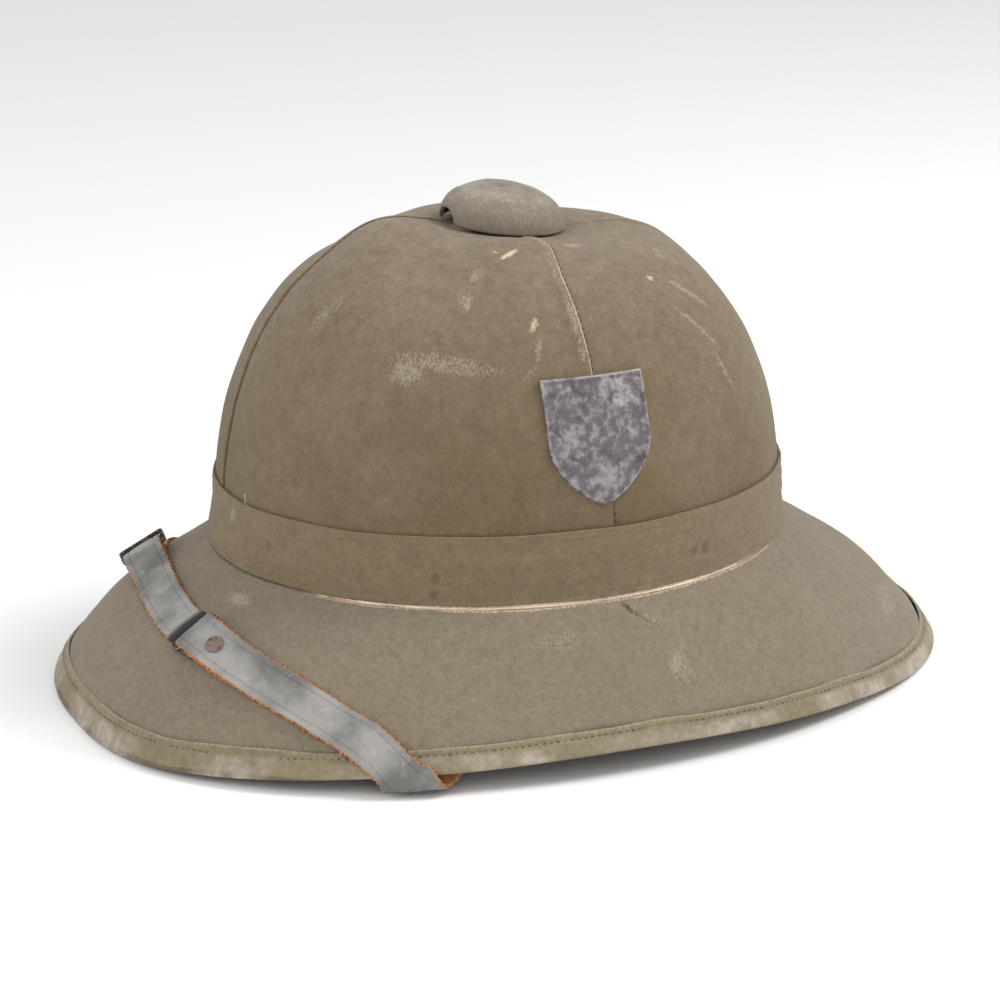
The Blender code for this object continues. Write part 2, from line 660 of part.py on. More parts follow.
def ribbon(name, path, holes=()):
    """Strap of even wall along distance and height pairs, with round holes cut through it."""
    path = np.array(path)
    ahead = np.roll(path, -1, axis=0)
    behind = np.roll(path, 1, axis=0)
    ahead[-1] = path[-1]
    behind[0] = path[0]
    tangent = unit(ahead - behind)
    sideways = np.stack([-tangent[:, 1], tangent[:, 0]], axis=-1) * STRAP_WALL / 2
    across = np.array([-1.0, 0.0, 1.0])
    grids = []
    for sign in (1.0, -1.0):
        line = path + sideways * sign
        grids.append(STRAP_WAY.points(line[:, 0:1], across[None, :], line[:, 1:2]))
    piece = add_slab(name, grids[0], grids[1], False, (0.24, 0.26, 0.27), 0.6)
    for number, (distance, low, high) in enumerate(holes):
        centre, along, side, normal = way_frame(distance)
        cutter = turned(
            f"{name}_cutter_{number}",
            [(RIVET_SHANK_RADIUS + GAP, low), (RIVET_SHANK_RADIUS + GAP, high)],
            centre, along, side, normal, RIVET_STEPS, (0, 0, 0), 1.0, 0.0,
        )
        cutter.hide_render = True
        cutter.display_type = "WIRE"
        cut = piece.modifiers.new("rivet_hole", "BOOLEAN")
        cut.operation = "DIFFERENCE"
        cut.solver = "EXACT"
        cut.object = cutter
    return piece


def way_frame(distance):
    """Point on the bed and the along, side and normal directions at a distance."""
    here = STRAP_WAY.points(distance, 0.0, 0.0)
    along = unit(STRAP_WAY.points(distance + 0.0005, 0.0, 0.0) - here)
    normal = unit(STRAP_WAY.points(distance, 0.0, 0.001) - here)
    side = np.cross(normal, along)
    return here, along, side, normal


def slider(name, bar, far_height):
    """Flat rectangular ring of steel, one bar in the strap's fold and the other at a height of its own."""
    here, along, side, normal = way_frame(bar)
    centre_low = way_frame(bar - SLIDER_LENGTH + SLIDER_BAR)
    near = here + normal * BAR_MIDDLE
    far = centre_low[0] + centre_low[3] * far_height
    lengthwise = unit(near - far)
    side = unit(side + centre_low[2])
    upright = unit(np.cross(lengthwise, side))
    middle = (near + far) / 2
    half_length = np.linalg.norm(near - far) / 2 + SLIDER_BAR / 2
    points, faces = [], []
    for level in (-SLIDER_WALL / 2, SLIDER_WALL / 2):
        for inset in (0.0, SLIDER_BAR):
            for sign_along, sign_side in ((1, 1), (-1, 1), (-1, -1), (1, -1)):
                points.append(
                    middle
                    + lengthwise * sign_along * (half_length - inset)
                    + side * sign_side * (STRAP_WIDTH / 2 + SLIDER_ROOM + (0.0 if inset else SLIDER_SIDE))
                    + upright * level
                )
    for corner in range(4):
        following = (corner + 1) % 4
        faces.append([corner, following, 4 + following, 4 + corner])
        faces.append([8 + corner, 8 + following, 12 + following, 12 + corner])
        faces.append([corner, following, 8 + following, 8 + corner])
        faces.append([4 + corner, 4 + following, 12 + following, 12 + corner])
    add_object(name, points, faces, (0.05, 0.045, 0.04), 0.45, 1.0)


def rivet(name, distance, low, high):
    """Rivet through the strap at a distance: a domed head, the shank and a flat foot."""
    centre, along, side, normal = way_frame(distance)
    profile = [
        (RIVET_SHANK_RADIUS, low),
        (RIVET_SHANK_RADIUS, high),
        (RIVET_HEAD_RADIUS, high),
        (RIVET_HEAD_RADIUS * 0.92, high + RIVET_HEAD_HEIGHT * 0.5),
        (RIVET_HEAD_RADIUS * 0.55, high + RIVET_HEAD_HEIGHT),
    ]
    turned(name, profile, centre, along, side, normal, RIVET_STEPS, (0.27, 0.2, 0.17), 0.5, 1.0)


def straps():
    """Two side straps and the centre strap, their sliders and rivets."""
    end = STRAP_WAY.lengths[-1]
    left_bar = STRAP_WAY.length_at_angle(SLIDER_LEFT_ANGLE) + FOLD_OUT
    right_bar = STRAP_WAY.length_at_angle(-SLIDER_RIGHT_ANGLE) + FOLD_OUT
    rivet_place = left_bar - FOLD_OUT + RIVET_FROM_LOOP
    flat = left_bar + LOOP_RETURN + TUCK
    main = [(flat - TUCK * 0.5, STRAP_WALL * 1.5 + GAP), (flat, UNDER_LAYER * 1.6), (flat + TUCK, UNDER_LAYER)]
    rest = np.append(STRAP_WAY.stations(flat + 1.5 * TUCK, end - STRAP_WALL), end)
    path = fold_path(left_bar, LOOP_RETURN) + [(left_bar + LOOP_RETURN * 0.85, STRAP_WALL * 1.5 + GAP)] + main
    path += [(distance, UNDER_LAYER) for distance in rest]
    ribbon("strap_left", path, [(end - STRAP_WIDTH / 2, -0.002, 0.004)])

    path = fold_path(right_bar, LOOP_RETURN_SHORT)
    start = right_bar + LOOP_RETURN_SHORT + TUCK
    path.append((start, STRAP_WALL * 1.2))
    reach = left_bar - SLIDER_LENGTH + SLIDER_BAR
    for distance in np.linspace(start + TUCK, reach - TUCK, 7):
        path.append((distance, UNDER_LAYER))
    over_bar = SEAT_BAR + SLIDER_WALL / 2 + GAP + STRAP_WALL / 2
    path.append((reach - SLIDER_BAR, over_bar))
    path.append((reach, over_bar + GAP))
    path.append((reach + SLIDER_BAR, over_bar))
    path.append((left_bar - FOLD_OUT + GAP, UNDER_LAYER))
    path.append((left_bar + TUCK * 0.5, UNDER_LAYER))
    ribbon("strap_centre", path)

    rest = np.insert(STRAP_WAY.stations(-end + STRAP_WALL, right_bar - SLIDER_LENGTH), 0, -end)
    path = [(distance, UNDER_LAYER) for distance in rest]
    path += [(right_bar - FOLD_OUT, UNDER_LAYER), (right_bar + TUCK * 0.5, UNDER_LAYER)]
    ribbon("strap_right", path, [(-end + STRAP_WIDTH / 2, -0.002, 0.004)])

    slider("slider_left", left_bar, SEAT_BAR)
    slider("slider_right", right_bar, BAR_MIDDLE)
    rivet("anchor_left", end - STRAP_WIDTH / 2, 0.0, STRAP_WALL + GAP)
    rivet("anchor_right", -end + STRAP_WIDTH / 2, 0.0, STRAP_WALL + GAP)
    rivet("strap_rivet", rivet_place, TOP_LAYER, TOP_LAYER + STRAP_WALL / 2 + GAP)


shell()
crown_gores()
brim_cover()
hat_band()
edge_binding()
vent_cap()
vent_stem()
badge()
straps()
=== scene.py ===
"""Looks of a worn sun helmet: cloth over pressed cork, a vent button, a bare badge and a leather strap.

Metres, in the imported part's frame: the front is -Y, the wearer's left is +X, up is +Z. Shapes are worked out
round the crown's axis, which lies FRAME_BACK behind the frame's origin, and moved there as meshes are made.
An angle is the ellipse parameter round the crown: 0 at the wearer's left, minus a quarter turn in front.
"""

import bpy
import numpy as np
from mathutils import Matrix, Vector


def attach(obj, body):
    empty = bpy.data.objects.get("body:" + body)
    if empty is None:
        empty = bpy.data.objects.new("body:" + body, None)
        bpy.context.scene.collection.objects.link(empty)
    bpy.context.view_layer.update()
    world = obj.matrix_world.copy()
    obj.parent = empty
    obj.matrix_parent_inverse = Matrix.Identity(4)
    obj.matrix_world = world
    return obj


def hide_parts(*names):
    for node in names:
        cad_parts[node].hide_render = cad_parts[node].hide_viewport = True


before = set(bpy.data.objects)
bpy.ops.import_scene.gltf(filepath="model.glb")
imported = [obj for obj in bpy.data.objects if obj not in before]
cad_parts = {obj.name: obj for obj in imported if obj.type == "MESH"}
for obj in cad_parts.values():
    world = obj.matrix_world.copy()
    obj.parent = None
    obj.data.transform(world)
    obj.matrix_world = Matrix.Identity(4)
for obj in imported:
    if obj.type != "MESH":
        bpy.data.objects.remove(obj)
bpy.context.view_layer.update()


def table(columns, *rows):
    """Rows of values, each with the names of its columns."""
    return [dict(zip(columns.split(), row)) for row in rows]



# Walls and clearances, as the solids have them
GAP = 0.0003
CLOTH = 0.0010
SHELL_WALL = 0.0025
MITRE = 0.384
SHELL_OUTER = CLOTH + GAP
SHELL_INNER = SHELL_OUTER + SHELL_WALL
UNDER_INNER = SHELL_INNER + GAP
UNDER_OUTER = UNDER_INNER + CLOTH
WRAP = CLOTH + GAP

# Crown
CROWN_HALF_LENGTH = 0.1105
CROWN_HALF_WIDTH = 0.0985
CROWN_MEAN = (CROWN_HALF_LENGTH + CROWN_HALF_WIDTH) / 2
CROWN_FOOT = 0.0560
CROWN_HEIGHT = 0.1260
CROWN_REACH_POWER = 2.28
CROWN_RISE_POWER = 2.5
DISH_DEPTH = 0.0118
DISH_REACH = 0.50
VENT_HOLE_REACH = 0.090
GORE_TOP_REACH = 0.115
GORE_FOOT_CLIMB = 0.0016
SIDE_SEAM_BACK = 2.0
TILT = 0.108
TILT_ASIDE = 0.38
TILT_BACK = 0.92
FLAT_FRONT = 0.0040
FLAT_BACK = 0.0012
TAPER_IN = 0.0022
RIGHT_DROP = 0.0024
FRONT_SEAM_DRIFT = 0.0100
SIDE_SEAM_DRIFT = 0.0050
SIDE_SEAM_LOW_DRIFT = 0.0016
SEAM_LEAST_REACH = 0.22
LAP_RISE = 0.00055
LAP_WIDTH = 0.0036
LAP_SHOULDER = 0.0014
EDGE_ROUND = 0.0006

# Brim
BRIM_HALF_LENGTH = 0.1717
BRIM_HALF_WIDTH = 0.1360
BRIM_SIDE_LIFT = 0.0093
BRIM_BULGE = 0.0027
BRIM_END_BULGE = 0.0044
BRIM_FRONT_BULGE = 0.0042
BRIM_RIM = table(
    "from_front reach lift",
    (0, 1.000, 0.00),
    (30, 1.040, 0.28),
    (60, 1.020, 0.76),
    (90, 0.985, 1.00),
    (120, 0.990, 0.57),
    (150, 1.030, 0.06),
    (180, 1.045, 0.00),
)
RIM_LEVEL = 0.03
COVER_FOOT_BARE = 0.0020
GAUZE_RISE = 0.0011
CORK_CROWN_ROWS = 64
FRAME_BACK = BRIM_HALF_LENGTH * (BRIM_RIM[-1]["reach"] - BRIM_RIM[0]["reach"]) / 2

# Bare line along the brim's foot, its width in millimetres by degrees back from the wearer's left
BARE_LINE = table(
    "angle width",
    (-180, 0.4),
    (-90, 0.3),
    (-66, 0.3),
    (-52, 1.6),
    (-30, 2.6),
    (-10, 2.9),
    (10, 2.8),
    (30, 2.4),
    (48, 1.3),
    (60, 0.3),
    (120, 0.5),
    (180, 0.4),
)

# Pucker in the brim's cloth on the wearer's left: angles in degrees, shares of the slope, depth
DART_START = (3.0, 0.075)
DART_END = (7.5, 0.270)
DART_DEPTH = 0.0007
DART_WIDTH = 0.0013
DART_SWELL = 0.0006
DART_SWELL_WIDTH = 0.0060

# Band and binding
BAND_HEIGHT = 0.0250
BAND_WALL = 0.0009
BAND_HEM_RISE = 0.45 * 0.0004
BAND_SEAT = 0.0008
BAND_DROP = 0.0016
BAND_HEM = 0.0026
BAND_TOP_STITCH = 0.0016
BAND_LOW_STITCH = 0.0022
BAND_TOP_GROOVE = 0.00012
BAND_LOW_GROOVE = 0.00010
BINDING_WIDTH = 0.0090
BINDING_UNDER = 0.0065
BINDING_STITCH = 0.0023
BINDING_GROOVE = 0.0003
REST_WIDTH = 0.0065
RIM_ROUND = 0.0010

# Vent button
CAP_RADIUS = 0.0237
CAP_HEIGHT = 0.0146
CAP_WALL = 0.0015
CAP_POWER = 2.3
CAP_BACK = 0.0035
NOTCH_HEIGHT = 0.0052
NOTCH_HALF_ANGLE = 0.31
CAP_DIMPLE_DEPTH = 0.0011
CAP_DIMPLE_RADIUS = 0.0085
STEM_RADIUS = 0.0040
STEM_NUT_RADIUS = 0.0130
STEM_NUT_HEIGHT = 0.0020

# Badge
BADGE_WIDTH = 0.0398
BADGE_HEIGHT = 0.0466
BADGE_WALL = 0.0010
BADGE_RIM = 0.0006
BADGE_RIM_WIDTH = 0.0013
BADGE_FOOT = 0.0332
BADGE_BACK = 0.0022
BADGE_TILT = -0.005
BADGE_LEAN = 0.95
BADGE_SHOULDER = 0.46
BADGE_POWER = 1.46

# Soft pale patches on the badge: place across in metres and up as a share, size in metres
BADGE_PATCHES = table(
    "across up size strength",
    (0.009, 0.84, 0.006, 0.6),
    (-0.012, 0.46, 0.005, 0.6),
    (0.002, 0.20, 0.006, 0.5),
)

# Strap, sliders and rivets
STRAP_WIDTH = 0.0154
STRAP_WALL = 0.0015
STRAP_ROOM = 0.0004
STRAP_UNDER_ROOM = 0.0008
STRAP_SLACK = 0.0095
STRAP_STEP_BACK = 0.0110
STRAP_STEP_SPAN = 0.0060

# The strap's middle line by degrees from the front, as the ways of strap_bed on the wearer's left and right
STRAP_ROUTE = table(
    "from_front way_left way_right",
    (0, 0.355, 0.355),
    (10, 0.400, 0.330),
    (20, 0.448, 0.345),
    (31, 0.520, 0.412),
    (42, 0.632, 0.545),
    (52, 0.790, 0.740),
    (57, 0.905, 0.895),
    (60.2, 1.030, 1.030),
    (62.8, 1.185, 1.185),
    (64.8, 1.325, 1.325),
    (67.6, 1.490, 1.490),
    (72.4, 1.675, 1.675),
    (77.4, 1.870, 1.870),
    (82.2, 2.060, 2.060),
    (85.8, 2.240, 2.240),
    (87.7, 2.360, 2.360),
    (88, 2.480, 2.480),
)
SLIDER_LEFT_ANGLE = 19.4
SLIDER_RIGHT_ANGLE = 25.2
SLIDER_RIGHT_LIFT = 0.0026
SLIDER_RIGHT_LENGTH = 0.0068
SLIDER_LENGTH = 0.0100
SLIDER_ROOM = 0.0004
SLIDER_SIDE = 0.0016
SLIDER_BAR = 0.0020
SLIDER_WALL = 0.0014
LOOP_RETURN = 0.0240
LOOP_RETURN_SHORT = 0.0120
TUCK = 0.0080
RIVET_FROM_LOOP = 0.0150
RIVET_HEAD_RADIUS = 0.0034
RIVET_HEAD_HEIGHT = 0.0008
RIVET_SHANK_RADIUS = 0.0016
ANCHOR_CLIMB = 0.0110
RIM_WAY = 0.32
INSIDE_WAY = 0.17
STRAP_GROOVE_IN = 0.0025
STRAP_GROOVE_DEPTH = 0.0003
STRAP_RAGGED = 0.00036

# Stitches
STITCH_PITCH = 0.0026
STITCH_LENGTH = 0.0019
STITCH_RADIUS = 0.00028
SEAM_STITCH_TURN = 0.00045 / 0.105

# Camera, from the photo's viewing angle
VIEW_AZIMUTH = 67.6
VIEW_ELEVATION = 17.1
VIEW_ROLL = -0.5
VIEW_DISTANCE = 1.300
VIEW_PIVOT_HEIGHT = 0.075
VIEW_AIM_RIGHT = 0.0015
VIEW_AIM_DOWN = 0.0103
LENS_MM = 122.15

# Studio
FLOOR_HALF = 4.0
FLOOR_WHITE = 0.96
WORLD_LIGHT = 0.66
LAMP_AIM = (0.0, 0.0, 0.08)
LAMPS = table(
    "name place wide watts",
    ("key", (0.45, 1.00, 1.30), 0.7, 16.0),
    ("fill", (1.50, -0.40, 0.70), 1.4, 4.0),
    ("front", (0.10, -1.45, 1.00), 1.2, 9.0),
)


def unit(vectors):
    """Vectors scaled to length one."""
    return vectors / np.linalg.norm(vectors, axis=-1, keepdims=True)


def ease(value, start, end):
    """Smooth step from 0 at start to 1 at end: three squares less two cubes of the share between them."""
    share = np.clip((value - start) / (end - start), 0, 1)
    return share * share * (3 - 2 * share)


def bell(value, middle, width):
    """Bell curve of height one: e to the minus square of the distance in widths."""
    return np.exp(-(((value - middle) / width) ** 2))


def round_edge(distance, radius):
    """Quarter round from 0 at an edge to 1 a radius in from it: root of one less what is left, squared."""
    return np.sqrt(1 - (1 - np.clip(distance / radius, 0, 1)) ** 2)


def ripple(points, size, seed, waves=14):
    """Smooth uneven field of height about one: a sum of sine waves of a size in seeded random directions."""
    chance = np.random.default_rng(seed)
    directions = unit(chance.normal(size=(waves, 3))) * chance.uniform(0.7, 1.4, (waves, 1)) / size
    phases = chance.uniform(0, 2 * np.pi, waves)
    return np.sin(2 * np.pi * (points @ directions.T) + phases).sum(axis=-1) / np.sqrt(waves / 2)


def smooth_curve(padded, place):
    """Smooth curve through evenly spaced values, with one spare value before the first and after the last."""
    index = np.clip(place.astype(int), 0, len(padded) - 4)
    share = place - index
    before, start, end, after = (padded[index + step] for step in range(4))
    slope_start = (end - before) / 2
    slope_end = (after - start) / 2
    square, cube = share**2, share**3
    return (
        start * (2 * cube - 3 * square + 1)
        + slope_start * (cube - 2 * square + share)
        + end * (3 * square - 2 * cube)
        + slope_end * (cube - square)
    )


def cubic(start, leaving, arriving, end, turn):
    """Cubic curve from start to end, leaving towards one point and arriving from another, by turn 0 to 1."""
    return (
        start * (1 - turn) ** 3
        + leaving * 3 * turn * (1 - turn) ** 2
        + arriving * 3 * turn**2 * (1 - turn)
        + end * turn**3
    )


def rim_value(column, angle):
    """Smooth value of a column of the rim's table by the angle from the front, the same on both sides."""
    values = np.array([row[column] for row in BRIM_RIM], float)
    padded = np.concatenate([values[1:2], values, values[-2:-1]])
    from_front = np.degrees(np.arccos(np.clip(-np.sin(angle), -1.0, 1.0)))
    spacing = BRIM_RIM[1]["from_front"] - BRIM_RIM[0]["from_front"]
    return smooth_curve(padded, from_front / spacing)


def crown_height(reach, depth):
    """Height of the crown at a share of its reach: a superellipse, less a shallow dish round the vent."""
    foot = CROWN_FOOT - MITRE * depth
    top = CROWN_FOOT + CROWN_HEIGHT - depth
    rise = (1 - reach**CROWN_REACH_POWER) ** (1 / CROWN_RISE_POWER)
    dish = DISH_DEPTH * np.clip(1 - (reach / DISH_REACH) ** 2, 0, 1) ** 2
    return foot + (top - foot) * rise - dish


def tilt_drop(x, y):
    """How far the crown's top and the button lie lower on a plane tilted back and to the wearer's left."""
    return TILT * (TILT_ASIDE * x + TILT_BACK * y)


def crown_point(angle, reach, depth):
    """Point of the crown: half sizes less the depth, times reach, round the ellipse, at crown_height.

    The top tilts back by tilt_drop, each gore is flatter between its seams by a bell of the reach times the
    squared sine of twice the angle, the front wall leans in above the band, and the shoulder on the wearer's
    right is lower by a bell of the reach.
    """
    x = (CROWN_HALF_WIDTH - depth) * reach * np.cos(angle)
    y = (CROWN_HALF_LENGTH - depth) * reach * np.sin(angle)
    z = crown_height(reach, depth) + 0 * x
    climb = z - CROWN_FOOT + MITRE * depth
    front = np.clip(-np.sin(angle), 0, 1)
    y = y + TAPER_IN * front**2 * ease(climb, 0.002, 0.016) * ease(climb, 0.108, 0.060)
    flat = FLAT_BACK + (FLAT_FRONT - FLAT_BACK) * (1 - np.sin(angle)) / 2
    z = z - flat * np.sin(2 * angle) ** 2 * bell(reach, 0.45, 0.15)
    z = z - tilt_drop(x, y) * ease(reach, 0.62, 0.30)
    aside = np.clip(np.cos(angle - np.radians(200)), 0, 1)
    z = z - RIGHT_DROP * aside**2 * bell(reach, 0.50, 0.26)
    return np.stack([x, y, z], axis=-1)


def reach_at(climb):
    """Share of the crown's reach at a climb above its foot."""
    rise = np.clip(climb / CROWN_HEIGHT, 0, 1)
    return (1 - rise**CROWN_RISE_POWER) ** (1 / CROWN_REACH_POWER)


def rim_frame(angle):
    """Rim point, outward direction, down-slope direction, slope normal and slope length at an angle."""
    reach = rim_value("reach", angle)
    lift = BRIM_SIDE_LIFT * np.clip(rim_value("lift", angle) - RIM_LEVEL, 0, 1) / (1 - RIM_LEVEL)
    rim = np.stack(
        [BRIM_HALF_WIDTH * reach * np.cos(angle), BRIM_HALF_LENGTH * reach * np.sin(angle), lift], axis=-1
    )
    span = rim - crown_point(angle, np.ones_like(angle), 0.0)
    length = np.linalg.norm(span, axis=-1)
    outward = unit(span * np.array([1.0, 1.0, 0.0]))
    down = unit(span)
    normal = outward * -down[..., 2:3]
    normal[..., 2] = np.linalg.norm(down[..., :2], axis=-1)
    return rim, outward, down, normal, length


def brim_bulge(angle, run):
    """Height of the brim over a straight slope: low all round, fuller by the rim behind, most in front."""
    low = BRIM_BULGE + 0.3 * BRIM_END_BULGE * np.sin(angle) ** 2
    full = BRIM_END_BULGE * np.sin(angle) ** 2 + BRIM_FRONT_BULGE * np.clip(-np.sin(angle), 0, 1) ** 3
    return low * 4 * run * (1 - run) + full * 6.75 * run**2 * (1 - run)


def brim_point(angle, run, depth):
    """Point of the brim: a straight slope from the crown's foot, run 0, to the rim, run 1, plus its bulge."""
    rim, _, _, normal, _ = rim_frame(angle)
    depth = np.asarray(depth) + 0 * angle
    start = crown_point(angle, np.ones_like(angle), depth)
    end = rim - normal * (WRAP + depth)[..., None]
    bulge = brim_bulge(angle, run)[..., None]
    run = (np.asarray(run) + 0 * angle)[..., None]
    return start + (end - start) * run + bulge * np.array([0.0, 0.0, 1.0])


def run_at_rise(angle, depth, rise):
    """Run at which the brim at a depth stands a rise above the rim, found in steps of Newton's method."""
    start = brim_point(angle, 0.0, depth)[..., 2]
    end = brim_point(angle, 1.0, depth)[..., 2]
    wanted = rim_frame(angle)[0][..., 2] + rise
    run = 1.0 + 0 * end
    for _ in range(6):
        slope = end - start + (brim_bulge(angle, run + 1e-4) - brim_bulge(angle, run - 1e-4)) / 2e-4
        run = run - (start + (end - start) * run + brim_bulge(angle, run) - wanted) / slope
    return run


def run_back(angle, back):
    """Run at a distance up the slope from the rim."""
    return 1 - back / rim_frame(angle)[4]


def grid_faces(rows, columns, wrap_columns):
    """Quads of a closed section of rows carried along columns, and each corner's own row and column."""
    row, column = np.meshgrid(np.arange(rows), np.arange(columns - (not wrap_columns)), indexing="ij")
    row, column = row.ravel(), column.ravel()
    corner_row = np.stack([row, row, row + 1, row + 1], axis=1)
    corner_column = np.stack([column, column + 1, column + 1, column], axis=1)
    return (corner_row % rows) * columns + corner_column % columns, corner_row, corner_column


def signed_volume(points, faces):
    """Six times the volume that faces cut into fans enclose."""
    total = 0.0
    for corner in range(1, faces.shape[1] - 1):
        first, second, third = (points[faces[:, place]] for place in (0, corner, corner + 1))
        total += np.einsum("ij,ij->i", first, np.cross(second, third)).sum()
    return total


def make_mesh(name, points, groups, materials, values, nodes=()):
    """Piece from points and groups of faces, each group with one number of corners and a UV for each."""
    mesh = bpy.data.meshes.new(name)
    mesh.vertices.add(len(points))
    mesh.vertices.foreach_set("co", (points - [0.0, FRAME_BACK, 0.0]).astype(np.float32).ravel())
    sizes = np.concatenate([np.full(len(faces), faces.shape[1]) for faces, _ in groups])
    corners = np.concatenate([faces.ravel() for faces, _ in groups])
    mesh.loops.add(len(corners))
    mesh.loops.foreach_set("vertex_index", corners.astype(np.int32))
    mesh.polygons.add(len(sizes))
    mesh.polygons.foreach_set("loop_start", (np.cumsum(sizes) - sizes).astype(np.int32))
    mesh.update(calc_edges=True)
    layer = mesh.uv_layers.new(name="cloth")
    flat = np.concatenate([uvs.reshape(-1, 2) for _, uvs in groups])
    layer.data.foreach_set("uv", flat.astype(np.float32).ravel())
    for label, value in values.items():
        attribute = mesh.attributes.new(label, "FLOAT", "POINT")
        attribute.data.foreach_set("value", np.asarray(value, np.float32).ravel())
    centred = points - points.mean(axis=0)
    if sum(signed_volume(centred, faces) for faces, _ in groups) < 0:
        mesh.flip_normals()
    mesh.validate()
    mesh.shade_smooth()
    mesh.set_sharp_from_angle(angle=np.radians(50))
    for material in materials:
        mesh.materials.append(material)
    piece = bpy.data.objects.new(name, mesh)
    bpy.context.scene.collection.objects.link(piece)
    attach(piece, "root")
    if nodes:
        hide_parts(*nodes)
    return piece


def add_wall(name, section, uvs, closed, material, slot, nodes=(), **values):
    """Closed piece from a grid of section rows and columns along its length.

    The first half of the rows is one side and the second half comes back along the other, so that a row faces
    the one as far from the end across the wall, and strips between them close both ends. UVs and values that
    have half as many rows serve both sides.
    """
    rows, columns = section.shape[:2]
    uvs, *grids = (grid if len(grid) == rows else two_sides(grid, grid) for grid in (uvs, *values.values()))
    values = dict(zip(values, grids))
    faces, corner_row, corner_column = grid_faces(rows, columns, closed)
    if closed:
        uvs = np.concatenate([uvs, uvs[:, :1] + (uvs[:, -1:] - uvs[:, :1]) * columns / (columns - 1)], axis=1)
    groups = [(faces, uvs[corner_row % rows, corner_column])]
    if not closed:
        here = np.arange(rows // 2 - 1)
        strip = np.stack([here, here + 1, rows - 2 - here, rows - 1 - here], axis=1)
        for column, turn in ((0, slice(None)), (columns - 1, slice(None, None, -1))):
            groups.append(((strip * columns + column)[:, turn], uvs[strip, column][:, turn]))
    return make_mesh(name, section.reshape(-1, 3), groups, [material], values, nodes)


def add_round(name, section, uvs, material, slot, nodes=(), **values):
    """Closed piece from rings of a grid, whose first and last rows each shrink to one point, a pole."""
    rows, columns = section.shape[:2]
    ring = np.arange(columns)
    following = (ring + 1) % columns
    row, column = np.meshgrid(np.arange(rows - 3), ring, indexing="ij")
    row, column = row.ravel(), column.ravel()
    last = (rows - 2) * columns + 1
    quads = np.stack([row * columns + column, row * columns + following[column],
                      (row + 1) * columns + following[column], (row + 1) * columns + column], axis=1) + 1
    quad_rows = np.stack([row, row, row + 1, row + 1], axis=1) + 1
    quad_columns = np.stack([column, column + 1, column + 1, column], axis=1)
    uvs = np.concatenate([uvs, uvs[:, :1] + (uvs[:, -1:] - uvs[:, :1]) * columns / (columns - 1)], axis=1)
    start = np.stack([np.zeros_like(ring), following + 1, ring + 1], axis=1)
    end = np.stack([np.full_like(ring, last), last - columns + ring, last - columns + following], axis=1)
    start_uvs = np.stack([uvs[0, ring], uvs[1, ring + 1], uvs[1, ring]], axis=1)
    end_uvs = np.stack([uvs[-1, ring], uvs[-2, ring], uvs[-2, ring + 1]], axis=1)
    groups = [(quads, uvs[quad_rows, quad_columns]), (start, start_uvs), (end, end_uvs)]
    poles = section[:1].mean(axis=1), section[-1:].mean(axis=1)
    points = np.concatenate([poles[0], section[1:-1].reshape(-1, 3), poles[1]])
    packed = {}
    for label, value in values.items():
        packed[label] = np.concatenate([value[0, :1], value[1:-1].ravel(), value[-1, :1]])
    return make_mesh(name, points, groups, [material], packed, nodes)


def two_sides(outer, inner):
    """Section grid from an outer side and an inner side that comes back."""
    return np.concatenate([outer, inner[::-1]])


def lengths_along(points):
    """Distance along a line of points, or along the rows of a grid, from the first."""
    steps = np.linalg.norm(np.diff(points, axis=0), axis=-1)
    return np.concatenate([np.zeros_like(steps[:1]), np.cumsum(steps, axis=0)])


def ring_angles(columns):
    """Evenly spaced angles once round from the back, so that the joining column lies there."""
    return np.pi / 2 + np.arange(columns) * 2 * np.pi / columns


# Marks of wear on the cloth: angle back from the wearer's left, climb above the crown's foot in millimetres or
# run down the brim, size along and across in millimetres, lean from upright in degrees. Chafe is rubbed pale,
# bare is worn through, and spot is a dark stain. The same dark channel also carries painted shade along the
# gores' seams, in the brim's crease, round the binding's underside and round the vent button.
CROWN_MARKS = table(
    "kind angle climb long wide lean strength",
    ("bare", -14.0, 116.5, 9.5, 2.2, 52, 1.0),
    ("bare", -19.5, 117.5, 3.0, 1.5, -60, 0.6),
    ("chafe", -26.3, 111.0, 7.0, 4.0, 20, 0.55),
    ("chafe", -28.2, 103.0, 9.0, 5.0, 10, 0.65),
    ("bare", -10.0, 95.5, 7.5, 2.0, 28, 0.75),
    ("chafe", -9.6, 88.5, 12.0, 2.2, 12, 0.7),
    ("chafe", -12.0, 80.5, 9.0, 1.6, 40, 0.5),
    ("chafe", -32.2, 84.0, 7.5, 38.0, 4, 0.50),
    ("chafe", -40.6, 80.5, 10.0, 13.0, 10, 0.62),
    ("chafe", 19.2, 119.0, 5.0, 9.0, 0, 0.85),
    ("bare", 32.8, 103.9, 2.4, 3.0, 20, 0.8),
    ("chafe", 37.8, 86.0, 30.0, 2.4, -32, 0.55),
    ("chafe", 43.0, 97.0, 26.0, 2.6, -38, 0.6),
    ("chafe", 40.0, 70.0, 16.0, 3.0, -15, 0.45),
    ("chafe", 50.0, 109.0, 9.0, 6.0, 30, 0.5),
    ("chafe", -70.0, 96.0, 20.0, 8.0, 20, 0.35),
    ("chafe", 120.0, 92.0, 22.0, 12.0, -20, 0.5),
    ("chafe", 160.0, 80.0, 10.0, 26.0, 8, 0.5),
    ("chafe", -140.0, 100.0, 24.0, 6.0, 35, 0.5),
    ("bare", -78.0, 125.4, 4.0, 11.0, 0, 1.0),
)
